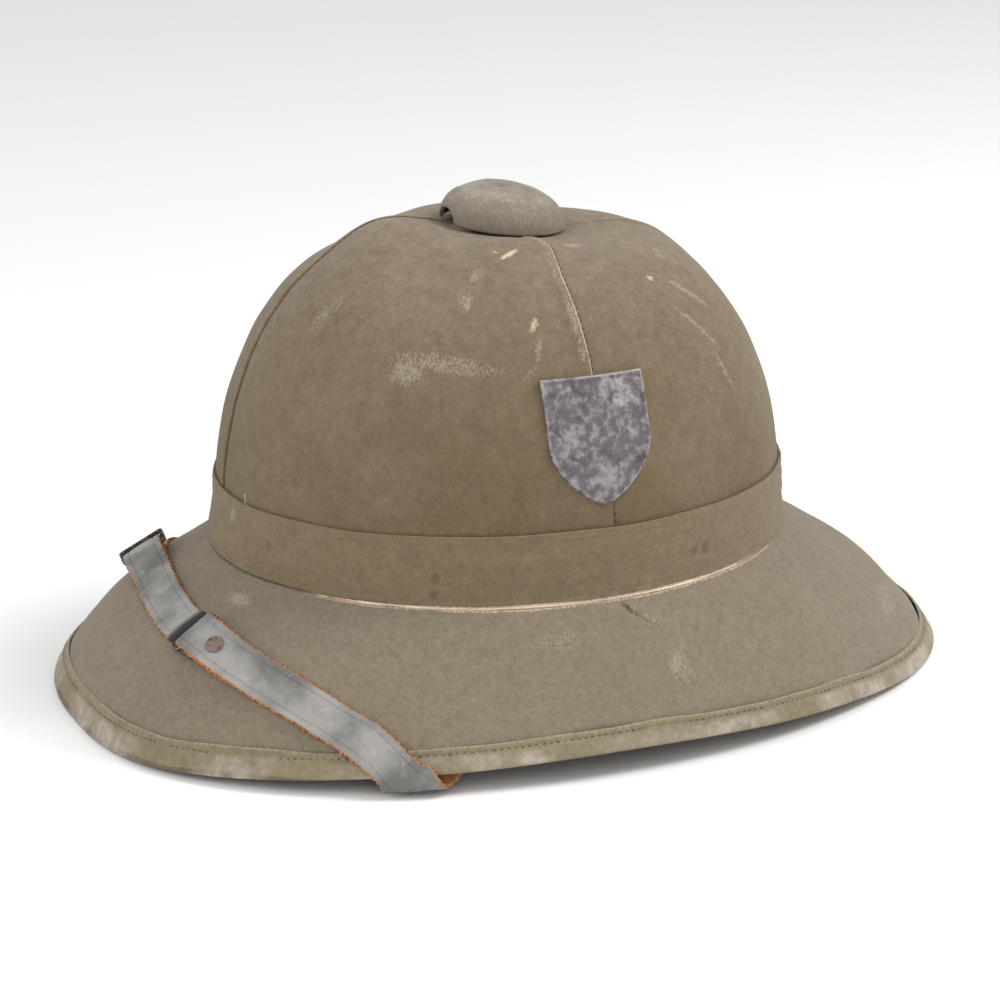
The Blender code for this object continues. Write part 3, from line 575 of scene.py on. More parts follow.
BAND_MARKS = table(
    "kind angle climb long wide lean strength",
    ("spot", 20.8, 9.9, 4.0, 3.2, 0, 0.9),
    ("spot", 23.8, 9.6, 5.4, 3.6, 0, 1.0),
    ("spot", -31.8, 10.0, 4.6, 3.6, 0, 0.9),
    ("spot", -32.0, 3.6, 3.6, 3.4, 0, 0.85),
    ("spot", -70.5, 12.8, 4.0, 3.2, 0, 0.75),
    ("chafe", -85.0, 18.0, 8.0, 5.0, 30, 0.5),
    ("spot", 150.0, 12.0, 5.0, 4.0, 0, 0.5),
    ("chafe", 110.0, 14.0, 7.0, 18.0, 0, 0.4),
)
BRIM_MARKS = table(
    "kind angle run long wide lean strength",
    ("chafe", -72.0, 0.165, 7.0, 13.0, 0, 0.8),
    ("spot", -108.2, 0.060, 2.0, 5.0, 10, 0.9),
    ("spot", -29.2, 0.010, 2.6, 4.0, 0, 1.0),
    ("chafe", 9.2, 0.560, 14.0, 10.0, 0, 0.4),
    ("chafe", -9.2, 0.300, 10.0, 22.0, 0, 0.25),
    ("chafe", 62.0, 0.700, 12.0, 30.0, 0, 0.35),
    ("spot", -4.0, 0.860, 6.0, 30.0, 0, 0.4),
    ("chafe", 130.0, 0.400, 16.0, 22.0, 20, 0.4),
    ("spot", 175.0, 0.500, 8.0, 8.0, 0, 0.4),
)


MARK_REACH = 0.060


def climb_point(angle, climb):
    """Point of the crown's cloth at a climb above its foot."""
    return crown_point(angle, reach_at(climb), 0.0)


def paint(points, surface, marks, kind):
    """Strength at each point from the marks of a kind, fading as e to the minus cube of the oval distance.

    A mark ends at MARK_REACH, so that none shows on the far side.
    """
    total = np.zeros(points.shape[:-1])
    for mark in marks:
        if mark["kind"] != kind:
            continue
        angle = np.array(np.radians(mark["angle"]))
        place = np.array(mark["climb"] / 1000 if "climb" in mark else mark["run"])
        step = 1e-4 if "climb" in mark else -1e-3
        centre = surface(angle, place)
        level = unit(surface(angle + 0.01, place) - surface(angle - 0.01, place))
        upward = unit(surface(angle, place + step) - surface(angle, place - step))
        lean = np.radians(mark["lean"])
        along = upward * np.cos(lean) + level * np.sin(lean)
        across = level * np.cos(lean) - upward * np.sin(lean)
        offset = points - centre
        oval = np.hypot(offset @ along / mark["long"], offset @ across / mark["wide"]) * 2000
        nearby = np.linalg.norm(offset, axis=-1) < MARK_REACH
        total = np.maximum(total, mark["strength"] * np.exp(-(oval**3)) * nearby)
    return total


def result(node):
    """The output that a node has with its present settings."""
    return next(output for output in node.outputs if output.enabled)


def add_node(tree, kind, inputs=(), **settings):
    """Adds a node with its settings, and gives each input a number, a hex colour, a node or an output."""
    node = tree.nodes.new(kind)
    for name, value in settings.items():
        setattr(node, name, value)
    for name, value in dict(inputs).items():
        if isinstance(value, bpy.types.Node):
            value = result(value)
        if isinstance(value, bpy.types.NodeSocket):
            tree.links.new(value, node.inputs[name])
        else:
            node.inputs[name].default_value = linear(value) if isinstance(value, str) else value
    return node


def linear(colour):
    """Linear colour from an sRGB hex value."""
    parts = np.array([int(colour[place : place + 2], 16) for place in (1, 3, 5)]) / 255
    parts = np.where(parts <= 0.04045, parts / 12.92, ((parts + 0.055) / 1.055) ** 2.4)
    return (*[float(part) for part in parts], 1.0)


def new_material(name, **sockets):
    """Material with its tree and shader, the given sockets set evenly."""
    material = bpy.data.materials.new(name)
    material.use_nodes = True
    tree = material.node_tree
    shader = tree.nodes["Principled BSDF"]
    for label, value in sockets.items():
        shader.inputs[label.replace("_", " ")].default_value = value
    return material, tree, shader


def add_relief(tree, shader, relief, depth, strength):
    """Gives the shader a fine relief as a bump."""
    bump = add_node(tree, "ShaderNodeBump", {"Height": relief, "Distance": depth, "Strength": strength})
    tree.links.new(result(bump), shader.inputs["Normal"])


def worn_cotton(name, body, faded, deep, fade, thread_mm, ribs):
    """Washed cotton twill: matt, finely ribbed, faded above, mottled by sun and hands, rubbed to bare thread.

    The real threads lie 0.5 mm apart, too fine to show from the camera, so they are drawn coarser.
    """
    material, tree, shader = new_material(
        name, Roughness=0.92, Sheen_Weight=0.12, Sheen_Roughness=0.6, Specular_IOR_Level=0.25
    )
    place = add_node(tree, "ShaderNodeTexCoord")
    cloth = add_node(tree, "ShaderNodeUVMap", uv_map="cloth")
    broad = add_node(tree, "ShaderNodeTexNoise", {0: place.outputs["Object"], "Scale": 22.0, "Detail": 3.0})
    blotch = add_node(tree, "ShaderNodeTexNoise", {0: place.outputs["Object"], "Scale": 170.0, "Detail": 6.0,
                                                   "Roughness": 0.62})
    fibre = add_node(tree, "ShaderNodeTexNoise", {0: place.outputs["Object"], "Scale": 1100.0, "Detail": 2.0})
    stretch = add_node(tree, "ShaderNodeMapping", {0: cloth, "Scale": (1.0, 0.12, 1.0)})
    streak = add_node(tree, "ShaderNodeTexNoise", {0: stretch, "Scale": 1500.0, "Detail": 3.0})
    turned = add_node(tree, "ShaderNodeMapping", {0: cloth, "Rotation": (0.0, 0.0, float(np.radians(ribs)))})
    rib = add_node(tree, "ShaderNodeTexWave", {0: turned, "Scale": 314.0 / thread_mm, "Distortion": 0.6,
                                               "Detail Scale": 4.0})
    height = add_node(tree, "ShaderNodeSeparateXYZ", {0: place.outputs["Object"]})
    level = add_node(tree, "ShaderNodeMapRange", {0: height.outputs[2], 1: fade[0], 2: fade[1]})
    uneven = add_node(tree, "ShaderNodeMath", {0: broad, 1: 0.9, 2: -0.45}, operation="MULTIPLY_ADD")
    sunned = add_node(tree, "ShaderNodeMath", {0: level, 1: uneven}, operation="ADD", use_clamp=True)
    colour = add_node(tree, "ShaderNodeMix", {0: sunned, 6: body, 7: faded}, data_type="RGBA")
    patch = add_node(tree, "ShaderNodeMapRange", {0: blotch, 1: 0.36, 2: 0.7, 3: 0.0, 4: 0.4})
    colour = add_node(tree, "ShaderNodeMix", {0: patch, 6: colour, 7: deep}, data_type="RGBA")
    mottle = add_node(tree, "ShaderNodeTexNoise", {0: place.outputs["Object"], "Scale": 420.0, "Detail": 4.0})
    grain = add_node(tree, "ShaderNodeMath", {0: rib.outputs[1], 1: 0.22, 2: fibre}, operation="MULTIPLY_ADD")
    grain = add_node(tree, "ShaderNodeMath", {0: mottle, 1: grain}, operation="ADD")
    shade = add_node(tree, "ShaderNodeMapRange", {0: grain, 1: 0.75, 2: 1.45, 3: 0.82, 4: 1.17})
    colour = add_node(tree, "ShaderNodeMix", {0: 1.0, 6: colour, 7: shade}, data_type="RGBA",
                      blend_type="MULTIPLY")
    pulled = add_node(tree, "ShaderNodeMath", {0: streak, 1: fibre}, operation="ADD")
    # Pale rubbing, worn-through thread and dark marks; the dark tint serves for real stains and also as
    # painted shade along seams, in the brim's crease, under the binding and round the vent button.
    for label, tint, rough, most in (("chafe", "#A99E8B", 1.70, 0.62), ("bare", "#D9C4A8", 0.80, 0.9),
                                     ("spot", "#5B4B3C", 0.35, 0.7)):
        mark = add_node(tree, "ShaderNodeAttribute", attribute_name=label)
        broken = add_node(tree, "ShaderNodeMath", {0: pulled, 1: rough, 2: -rough}, operation="MULTIPLY_ADD")
        gate = add_node(tree, "ShaderNodeMapRange", {0: mark.outputs["Fac"], 1: 0.0, 2: 0.3})
        strength = add_node(tree, "ShaderNodeMath", {0: broken, 1: gate, 2: mark.outputs["Fac"]},
                            operation="MULTIPLY_ADD")
        strength = add_node(tree, "ShaderNodeMapRange", {0: strength, 1: 0.15, 2: 0.8, 3: 0.0, 4: most})
        colour = add_node(tree, "ShaderNodeMix", {0: strength, 6: colour, 7: tint}, data_type="RGBA")
    tree.links.new(result(colour), shader.inputs["Base Color"])
    relief = add_node(tree, "ShaderNodeMath", {0: rib.outputs[1], 1: 0.55, 2: fibre},
                      operation="MULTIPLY_ADD")
    add_relief(tree, shader, relief, 0.00011, 0.8)
    return material


def dusty_binding():
    """Cotton tape folded round the rim: khaki by its upper fold, greyed by dust and hands near the edge."""
    material = worn_cotton("dusty_cotton_tape", "#85795F", "#958A72", "#665B49", (0.0, 0.30), 0.9, 62)
    tree = material.node_tree
    shader = tree.nodes["Principled BSDF"]
    before = shader.inputs["Base Color"].links[0].from_socket
    place = add_node(tree, "ShaderNodeTexCoord").outputs["Object"]
    grime = add_node(tree, "ShaderNodeAttribute", attribute_name="grime")
    broken = add_node(tree, "ShaderNodeTexNoise", {0: place, "Scale": 75.0, "Detail": 6.0, "Roughness": 0.65})
    dust = add_node(tree, "ShaderNodeTexNoise", {0: place, "Scale": 420.0, "Detail": 3.0})
    amount = add_node(tree, "ShaderNodeMapRange", {0: broken, 1: 0.36, 2: 0.62, 3: 0.1, 4: 1.0})
    amount = add_node(tree, "ShaderNodeMath", {0: amount, 1: grime.outputs["Fac"]}, operation="MULTIPLY")
    speck = add_node(tree, "ShaderNodeMix", {0: dust, 6: "#877D72", 7: "#C0B4A4"}, data_type="RGBA")
    colour = add_node(tree, "ShaderNodeMix", {0: amount, 6: before, 7: speck}, data_type="RGBA")
    tree.links.new(result(colour), shader.inputs["Base Color"])
    return material


def pressed_cork():
    """Ground cork pressed with glue: grains 2 to 4 mm across in several browns, dull, with dark joints.

    Along the brim's foot, where the value bare is 1, it is covered by the cream gauze that shows there.
    """
    material, tree, shader = new_material("pressed_cork", Roughness=0.95, Specular_IOR_Level=0.2)
    place = add_node(tree, "ShaderNodeTexCoord").outputs["Object"]
    wobble = add_node(tree, "ShaderNodeTexNoise", {0: place, "Scale": 250.0, "Detail": 2.0})
    shifted = add_node(tree, "ShaderNodeMix", {0: 0.0025, 4: place, 5: wobble.outputs[1]}, data_type="VECTOR")
    grains = add_node(tree, "ShaderNodeTexVoronoi", {0: shifted, "Scale": 330.0})
    joints = add_node(tree, "ShaderNodeTexVoronoi", {0: shifted, "Scale": 330.0}, feature="DISTANCE_TO_EDGE")
    tones = add_node(tree, "ShaderNodeSeparateColor", {0: grains.outputs[1]})
    tone = add_node(tree, "ShaderNodeMix", {0: tones, 6: "#B08A5E", 7: "#C9A678"}, data_type="RGBA")
    dark = add_node(tree, "ShaderNodeMapRange", {0: tones.outputs[1], 1: 0.78, 2: 0.95})
    tone = add_node(tree, "ShaderNodeMix", {0: dark, 6: tone, 7: "#7A5636"}, data_type="RGBA")
    line = add_node(tree, "ShaderNodeMapRange", {0: joints, 1: 0.0, 2: 0.1, 3: 0.75, 4: 0.0})
    tone = add_node(tree, "ShaderNodeMix", {0: line, 6: tone, 7: "#6A4A30"}, data_type="RGBA")
    soft = add_node(tree, "ShaderNodeTexNoise", {0: place, "Scale": 700.0, "Detail": 4.0})
    gauze = add_node(tree, "ShaderNodeMix", {0: soft, 6: "#EBCFB4", 7: "#FAEAD8"}, data_type="RGBA")
    bare = add_node(tree, "ShaderNodeAttribute", attribute_name="bare")
    colour = add_node(tree, "ShaderNodeMix", {0: bare.outputs["Fac"], 6: tone, 7: gauze}, data_type="RGBA")
    tree.links.new(result(colour), shader.inputs["Base Color"])
    packed = add_node(tree, "ShaderNodeMapRange", {0: joints, 1: 0.0, 2: 0.16})
    relief = add_node(tree, "ShaderNodeMath", {0: soft, 1: 0.5, 2: packed}, operation="MULTIPLY_ADD")
    add_relief(tree, shader, relief, 0.00025, 0.7)
    return material


def painted_leather():
    """Strap leather brushed with grey paint, satin and crazed, worn through at the edges to raw tan fibre."""
    material, tree, shader = new_material("grey_painted_strap_leather", Specular_IOR_Level=0.4)
    place = add_node(tree, "ShaderNodeTexCoord").outputs["Object"]
    broad = add_node(tree, "ShaderNodeTexNoise", {0: place, "Scale": 55.0, "Detail": 4.0})
    fine = add_node(tree, "ShaderNodeTexNoise", {0: place, "Scale": 900.0, "Detail": 4.0})
    pores = add_node(tree, "ShaderNodeTexVoronoi", {0: place, "Scale": 1500.0})
    craze = add_node(tree, "ShaderNodeTexNoise", {0: place, "Scale": 240.0, "Detail": 6.0, "Roughness": 0.7})
    clouds = add_node(tree, "ShaderNodeMapRange", {0: broad, 1: 0.38, 2: 0.62})
    paint_tone = add_node(tree, "ShaderNodeMix", {0: clouds, 6: "#6B6A67", 7: "#9A9793"}, data_type="RGBA")
    rubbed = add_node(tree, "ShaderNodeMapRange", {0: craze, 1: 0.56, 2: 0.74, 3: 0.0, 4: 0.5})
    paint_tone = add_node(tree, "ShaderNodeMix", {0: rubbed, 6: paint_tone, 7: "#B4B0AB"}, data_type="RGBA")
    worn = add_node(tree, "ShaderNodeMapRange", {0: craze, 1: 0.4, 2: 0.28, 3: 0.0, 4: 0.5})
    paint_tone = add_node(tree, "ShaderNodeMix", {0: worn, 6: paint_tone, 7: "#5A5A58"}, data_type="RGBA")
    # Painted shade: where the value dark is 1 the paint turns near black, standing for the shadow in the slot
    # under the near strap's fold.
    painted_slot_shade = add_node(tree, "ShaderNodeAttribute", attribute_name="dark")
    paint_tone = add_node(tree, "ShaderNodeMix", {0: painted_slot_shade.outputs["Fac"], 6: paint_tone, 7: "#171614"},
                          data_type="RGBA")
    hide = add_node(tree, "ShaderNodeMix", {0: fine, 6: "#7E4F2E", 7: "#C68A56"}, data_type="RGBA")
    raw = add_node(tree, "ShaderNodeAttribute", attribute_name="raw")
    edge = add_node(tree, "ShaderNodeMath", {0: craze, 1: 0.55, 2: raw.outputs["Fac"]},
                    operation="MULTIPLY_ADD")
    edge = add_node(tree, "ShaderNodeMapRange", {0: edge, 1: 0.72, 2: 0.86})
    colour = add_node(tree, "ShaderNodeMix", {0: edge, 6: paint_tone, 7: hide}, data_type="RGBA")
    tree.links.new(result(colour), shader.inputs["Base Color"])
    gloss = add_node(tree, "ShaderNodeMapRange", {0: edge, 1: 0.0, 2: 1.0, 3: 0.52, 4: 0.95})
    tree.links.new(result(gloss), shader.inputs["Roughness"])
    relief = add_node(tree, "ShaderNodeMath", {0: craze, 1: 1.4, 2: fine}, operation="MULTIPLY_ADD")
    relief = add_node(tree, "ShaderNodeMath", {0: pores, 1: 0.4, 2: relief}, operation="MULTIPLY_ADD")
    add_relief(tree, shader, relief, 0.00012, 0.7)
    return material


def aged_metal(name, body, worn, tarnish, roughness, patches):
    """Stamped metal gone dull: a tarnished body, pale worn places along what stands proud, and dark pits."""
    material, tree, shader = new_material(name, Metallic=0.55)
    place = add_node(tree, "ShaderNodeTexCoord").outputs["Object"]
    cloudy = add_node(tree, "ShaderNodeTexNoise", {0: place, "Scale": patches, "Detail": 5.0,
                                                   "Roughness": 0.62})
    other = add_node(tree, "ShaderNodeTexNoise", {0: place, "Scale": patches * 0.6, "Detail": 4.0,
                                                  "Distortion": 0.8})
    fine = add_node(tree, "ShaderNodeTexNoise", {0: place, "Scale": 1300.0, "Detail": 3.0})
    proud = add_node(tree, "ShaderNodeAttribute", attribute_name="proud")
    pale = add_node(tree, "ShaderNodeMath", {0: proud.outputs["Fac"], 1: 0.32, 2: cloudy},
                    operation="MULTIPLY_ADD")
    pale = add_node(tree, "ShaderNodeMapRange", {0: pale, 1: 0.52, 2: 0.72})
    colour = add_node(tree, "ShaderNodeMix", {0: pale, 6: body, 7: worn}, data_type="RGBA")
    dull = add_node(tree, "ShaderNodeMapRange", {0: other, 1: 0.54, 2: 0.7, 3: 0.0, 4: 0.75})
    colour = add_node(tree, "ShaderNodeMix", {0: dull, 6: colour, 7: tarnish}, data_type="RGBA")
    tree.links.new(result(colour), shader.inputs["Base Color"])
    gloss = add_node(tree, "ShaderNodeMapRange", {0: fine, 1: 0.3, 2: 0.7, 3: roughness - 0.1,
                                                  4: roughness + 0.12})
    tree.links.new(result(gloss), shader.inputs["Roughness"])
    relief = add_node(tree, "ShaderNodeMath", {0: cloudy, 1: 1.6, 2: fine}, operation="MULTIPLY_ADD")
    add_relief(tree, shader, relief, 0.00012, 0.6)
    return material


def sewing_thread(name, light, dark):
    """Waxed cotton sewing thread: matt, uneven from stitch to stitch."""
    material, tree, shader = new_material(name, Roughness=0.85)
    place = add_node(tree, "ShaderNodeTexCoord").outputs["Object"]
    uneven = add_node(tree, "ShaderNodeTexNoise", {0: place, "Scale": 160.0, "Detail": 4.0})
    share = add_node(tree, "ShaderNodeMapRange", {0: uneven, 1: 0.35, 2: 0.65})
    colour = add_node(tree, "ShaderNodeMix", {0: share, 6: light, 7: dark}, data_type="RGBA")
    tree.links.new(result(colour), shader.inputs["Base Color"])
    return material


def cork_shell(material):
    """Pressed cork crown and brim in one wall, open below, its inner face slightly uneven."""
    angles = ring_angles(256)
    hole_turn = np.arccos(VENT_HOLE_REACH ** (CROWN_REACH_POWER / 2))
    reaches = np.cos(np.linspace(hole_turn, 0.0, CORK_CROWN_ROWS)) ** (2 / CROWN_REACH_POWER)
    first = [0.006, 0.014, 0.022, 0.030, 0.038, 0.048, 0.062]
    shares = np.concatenate([first, np.linspace(0.08, 1, 23)])[:, None]
    width = bare_width(angles) / rim_frame(angles)[4]
    sides = []
    for depth in (SHELL_OUTER, SHELL_INNER):
        crown = crown_point(angles, reaches[:, None], depth)
        run = run_at_rise(angles, depth, WRAP) * shares
        swell = GAUZE_RISE * ease(run, width, width * 0.8) * (depth == SHELL_OUTER)
        sides.append(np.concatenate([crown, brim_point(angles, run, depth - swell)]))
    outer, inner = sides
    inner = inner + (outer - inner) * 0.05 * ripple(inner, 0.014, 3)[..., None]
    section = two_sides(outer, inner)
    bare = np.zeros(section.shape[:2])
    bare[CORK_CROWN_ROWS - 14 : CORK_CROWN_ROWS + 8] = 1
    uvs = np.stack([section[..., 0], section[..., 1]], axis=-1)
    add_wall("cork_shell", section, uvs, True, material, "pressed_cork", ["shell"], bare=bare)


def seam_angle(degrees, reach):
    """Angle of a seam at a reach: the front one drifts to the wearer's right, the left one back."""
    radius = CROWN_MEAN * np.maximum(reach, SEAM_LEAST_REACH)
    drift = 0.0
    if degrees == 270.0:
        drift = -FRONT_SEAM_DRIFT * (0.75 + 0.25 * ease(reach, 0.88, 0.42))
    if degrees in (SIDE_SEAM_BACK, 360.0 + SIDE_SEAM_BACK):
        drift = SIDE_SEAM_DRIFT * ease(reach, 0.62, 0.30) + SIDE_SEAM_LOW_DRIFT * ease(reach, 0.90, 0.985)
    return np.radians(degrees) + drift / radius


def gore_columns(start, end):
    """Angles across a gore, close together by its seams, where the lap and the worn edge are."""
    near = np.array([0, 0.15, 0.35, 0.6, 0.9, 1.3, 1.8, 2.4, 3.0, 3.4, 3.9, 4.5, 5.2, 6.2]) / 1000
    near = near / CROWN_MEAN
    middle = start + near[-1] + (end - start - 2 * near[-1]) * np.linspace(0, 1, 104)[1:-1]
    return np.concatenate([start + near, middle, end - near[::-1]], axis=1)


def crown_gore(name, start, end, lean, worn, material):
    """One cloth gore: crown_point with rounded edges, a raised lap along its end seam and faint dents."""
    top_turn = np.arccos(GORE_TOP_REACH ** (CROWN_REACH_POWER / 2))
    foot_turn = np.arccos(reach_at(GORE_FOOT_CLIMB) ** (CROWN_REACH_POWER / 2))
    reaches = (np.cos(np.linspace(top_turn, foot_turn, 116)) ** (2 / CROWN_REACH_POWER))[:, None]
    start, end = seam_angle(start, reaches), seam_angle(end, reaches)
    angles = gore_columns(start, end)
    base = crown_point(angles, reaches, 0.0)
    climb = base[..., 2] - CROWN_FOOT
    from_end = (end - angles) * CROWN_MEAN * reaches
    from_start = (angles - start) * CROWN_MEAN * reaches
    covered = ease(climb, 0.0270, 0.0235)
    badge_side = ease(climb, 0.0840, 0.0800) * worn
    lap = LAP_RISE * (1 - 0.72 * badge_side) * (1 - covered)
    height = lap * ease(from_end, LAP_WIDTH + LAP_SHOULDER, LAP_WIDTH)
    height += 0.00012 * bell(from_end, LAP_WIDTH * 0.5, 0.0012) * (1 - covered)
    height -= 0.0006 * (1 - round_edge(from_end, EDGE_ROUND))
    height -= 0.00025 * bell(from_start, 0.0, 0.0010)
    free = (1 - covered) * ease(reaches, 0.12, 0.30)
    height += 0.00016 * ripple(base, 0.060, 11) * free + 0.00006 * ripple(base, 0.017, 12) * free
    outer = crown_point(angles, reaches, -height)
    inner = crown_point(angles, reaches, CLOTH)
    for side in (outer, inner):
        side[:, 0] += GAP / 2 * np.concatenate([-np.sin(start), np.cos(start), 0 * start], axis=1)
        side[:, -1] += GAP / 2 * np.concatenate([np.sin(end), -np.cos(end), 0 * end], axis=1)
    section = two_sides(outer, inner)
    down = lengths_along(base)
    across = (angles - (start + end) / 2) * CROWN_MEAN * reaches + 0 * down
    turn = np.radians(lean)
    cos, sin = np.cos(turn), np.sin(turn)
    flat = np.stack([across * cos - down * sin, across * sin + down * cos], axis=-1)
    edge = (0.10 + 0.60 * worn * ease(climb, 0.060, 0.080)) * bell(from_end, 0.0, 0.00075) * (1 - covered)
    patchy = np.clip(0.60 + 0.45 * ripple(base, 0.030, 21), 0, 1)
    ridge = (0.25 + 0.65 * worn) * bell(from_end, LAP_WIDTH * 0.55, LAP_WIDTH * 0.45) * patchy
    ridge = ridge * (1 - 0.95 * badge_side) * ease(climb, 0.126, 0.118)
    chafe = np.maximum(paint(base, climb_point, CROWN_MARKS, "chafe"), ridge * (1 - covered))
    bare = np.maximum(paint(base, climb_point, CROWN_MARKS, "bare"), edge)
    # Painted shade: a thin dark line along the gore's start edge, where the neighbouring gore's lap steps down
    # onto it, is added to the stains.
    spot = 0.5 * bell(from_start, 0.0, 0.0006) + paint(base, climb_point, CROWN_MARKS, "spot")
    add_wall(name, section, flat, False, material, "crown_twill", [name.replace("gore", "crown")],
             chafe=chafe, bare=bare, spot=spot)


def bare_width(angle):
    """Width of the bare line between the band and the brim's cloth, from its table."""
    table = np.array([[row["angle"], row["width"] / 1000] for row in BARE_LINE])
    degrees = (np.degrees(angle) + 180) % 360 - 180
    return np.interp(degrees, table[:, 0], table[:, 1])


def dart_distances(angles, run):
    """Share of the way along the pucker, and the distance across from its line, on the brim."""
    share = (run - DART_START[1]) / (DART_END[1] - DART_START[1])
    line = np.radians(DART_START[0] + (DART_END[0] - DART_START[0]) * np.clip(share, -0.3, 1.3))
    turn = (angles - line + np.pi) % (2 * np.pi) - np.pi
    return share, turn * (CROWN_HALF_WIDTH + run * (BRIM_HALF_WIDTH - CROWN_HALF_WIDTH))


def brim_cloth(material):
    """Cloth over the brim: gentle waves, one pucker, and a worn inner edge, uneven beside the bare line."""
    even = ring_angles(480)
    close = 2 * np.pi + np.radians(np.arange(-3.0, 13.0, 0.22))
    angles = np.sort(np.concatenate([even[(even < close[0] - 0.004) | (even > close[-1] + 0.004)], close]))
    length = rim_frame(angles)[4]
    edge_points = brim_point(angles, 0.0, 0.0)
    uneven = 0.05 * ripple(edge_points, 0.009, 31) + 0.09 * ripple(edge_points, 0.035, 32)
    first = np.maximum(bare_width(angles) * (1 + uneven), 0.0002) / length
    cut = run_at_rise(angles, 0.0, WRAP)
    shares = np.concatenate([[0, 0.003, 0.008, 0.016, 0.028], np.linspace(0.045, 1.0, 56)])[:, None]
    run = first + (cut - first) * shares
    base = brim_point(angles, run, 0.0)
    height = 0.00028 * ripple(base, 0.045, 33) + 0.00009 * ripple(base, 0.015, 34)
    share, aside = dart_distances(angles, run)
    there = ease(share, -0.12, 0.12) * ease(share, 1.15, 0.8)
    pucker = DART_SWELL * bell(aside, 0.0, DART_SWELL_WIDTH) - DART_DEPTH * bell(aside, 0.0, DART_WIDTH)
    height += pucker * there
    height -= 0.0005 * (1 - round_edge((run - first) * length, 0.0005))
    height += 0.0005 * bell((1 - run) * length, 0.0112, 0.0035) * ease((1 - run) * length, 0.0088, 0.0102)
    outer = brim_point(angles, run, -height)
    inner = brim_point(angles, run, CLOTH)
    section = two_sides(outer, inner)
    flat = np.stack([angles * 0.12 + 0 * run, run * length], axis=-1)
    fray = 0.6 * bell((run - first) * length, 0.0, 0.0009) * ease(bare_width(angles), 0.0005, 0.0015)
    bare = np.maximum(fray, paint(base, brim_surface, BRIM_MARKS, "bare"))
    # Painted shade: the pucker's groove is darkened along its line; beside it, on one side, the fold is paler.
    fold, crease_shade = 0.35 * bell(aside, 0.0018, 0.0012) * there, 0.7 * bell(aside, 0.0, 0.00055) * there
    chafe = np.maximum(paint(base, brim_surface, BRIM_MARKS, "chafe"), fold)
    spot = np.maximum(paint(base, brim_surface, BRIM_MARKS, "spot"), crease_shade)
    add_wall("brim_cloth", section, flat, True, material, "brim_cloth", ["brim_cover"],
             chafe=chafe, bare=bare, spot=spot)


def brim_surface(angle, run):
    """Point of the brim's cloth."""
    return brim_point(angle, run, 0.0)


def band_point(angle, climb, proud):
    """Point of the band: a climb above the crown's foot, or down the brim below it, proud of the cloth."""
    above = crown_point(angle, reach_at(np.maximum(climb, 0.0)), -proud)
    below = brim_point(angle, np.maximum(-climb, 0.0) / rim_frame(angle)[4], -proud)
    return np.where((np.asarray(climb) + 0 * angle < 0)[..., None], below, above)


def band_foot(angle):
    """Climb of the band's foot, which hangs a little below the crown's foot at the wearer's left."""
    drop = np.clip(0.5 + 0.62 * np.cos(angle - np.radians(18)), 0, 1) * BAND_DROP
    return BAND_SEAT - drop


def folded_band(material):
    """Band folded under at its top and foot: rounded folds, their hems, stitch lines and faint creases."""
    angles = ring_angles(760)
    ring = band_point(angles, 0.012, 0.0)
    foot = band_foot(angles) + 0.00012 * ripple(ring, 0.030, 41)
    top = BAND_HEIGHT + 0.00018 * ripple(ring, 0.045, 42)
    edge = np.array([0, 0.05, 0.15, 0.3, 0.5, 0.8]) / 1000
    hem = np.array([1.2, 1.4, 1.6, 1.8, 2.0, 2.3, 2.6, 2.9, 3.3]) / 1000
    tall = BAND_HEIGHT - BAND_SEAT
    middle = np.linspace(0.0040, tall - 0.0040, 26)
    climbs = np.concatenate([edge, hem, middle, tall - hem[::-1], tall - edge[::-1]])[:, None]
    climb = foot + climbs * (top - foot) / tall
    base = band_point(angles, climb, GAP)
    from_top, from_foot = top - climb, climb - foot
    height = GAP + BAND_WALL * (0.25 + 0.75 * round_edge(from_top, 0.0007) * round_edge(from_foot, 0.0006))
    height += BAND_HEM_RISE * ease(from_top, BAND_HEM + 0.0012, BAND_HEM) * round_edge(from_top, 0.0009)
    height -= BAND_TOP_GROOVE * bell(from_top, BAND_TOP_STITCH, 0.00040)
    height -= BAND_LOW_GROOVE * bell(from_foot, BAND_LOW_STITCH, 0.00040)
    height += 0.00006 * bell(from_foot, 0.0010, 0.0008)
    drawn = base * np.array([1.0, 1.0, 9.0])
    creased = ease(np.cos(angles - np.radians(38)), 0.2, 0.9)
    free = ease(from_top, 0.0030, 0.0055) * ease(from_foot, 0.0028, 0.0050)
    height += 0.00008 * ripple(drawn, 0.060, 43) * (0.45 + creased) * free
    height += 0.00007 * ripple(base, 0.012, 44)
    outer = band_point(angles, climb, height)
    inner = band_point(angles, climb, GAP)
    section = two_sides(outer, inner)
    flat = np.stack([angles * 0.105 + 0 * climb, climb], axis=-1)
    worn = 0.12 * bell(from_top, 0.0004, 0.0006) + 0.10 * bell(from_foot, 0.0004, 0.0006)
    chafe = np.maximum(paint(base, climb_point, BAND_MARKS, "chafe"), worn)
    # A thin darker line along the lower edge of the top hem.
    hem_edge_dark = 0.30 * bell(from_top, BAND_HEM + 0.0006, 0.0004)
    spot = np.maximum(paint(base, climb_point, BAND_MARKS, "spot"), hem_edge_dark)
    add_wall("folded_band", section, flat, True, material, "band_twill", ["hat_band"],
             chafe=chafe, spot=spot)


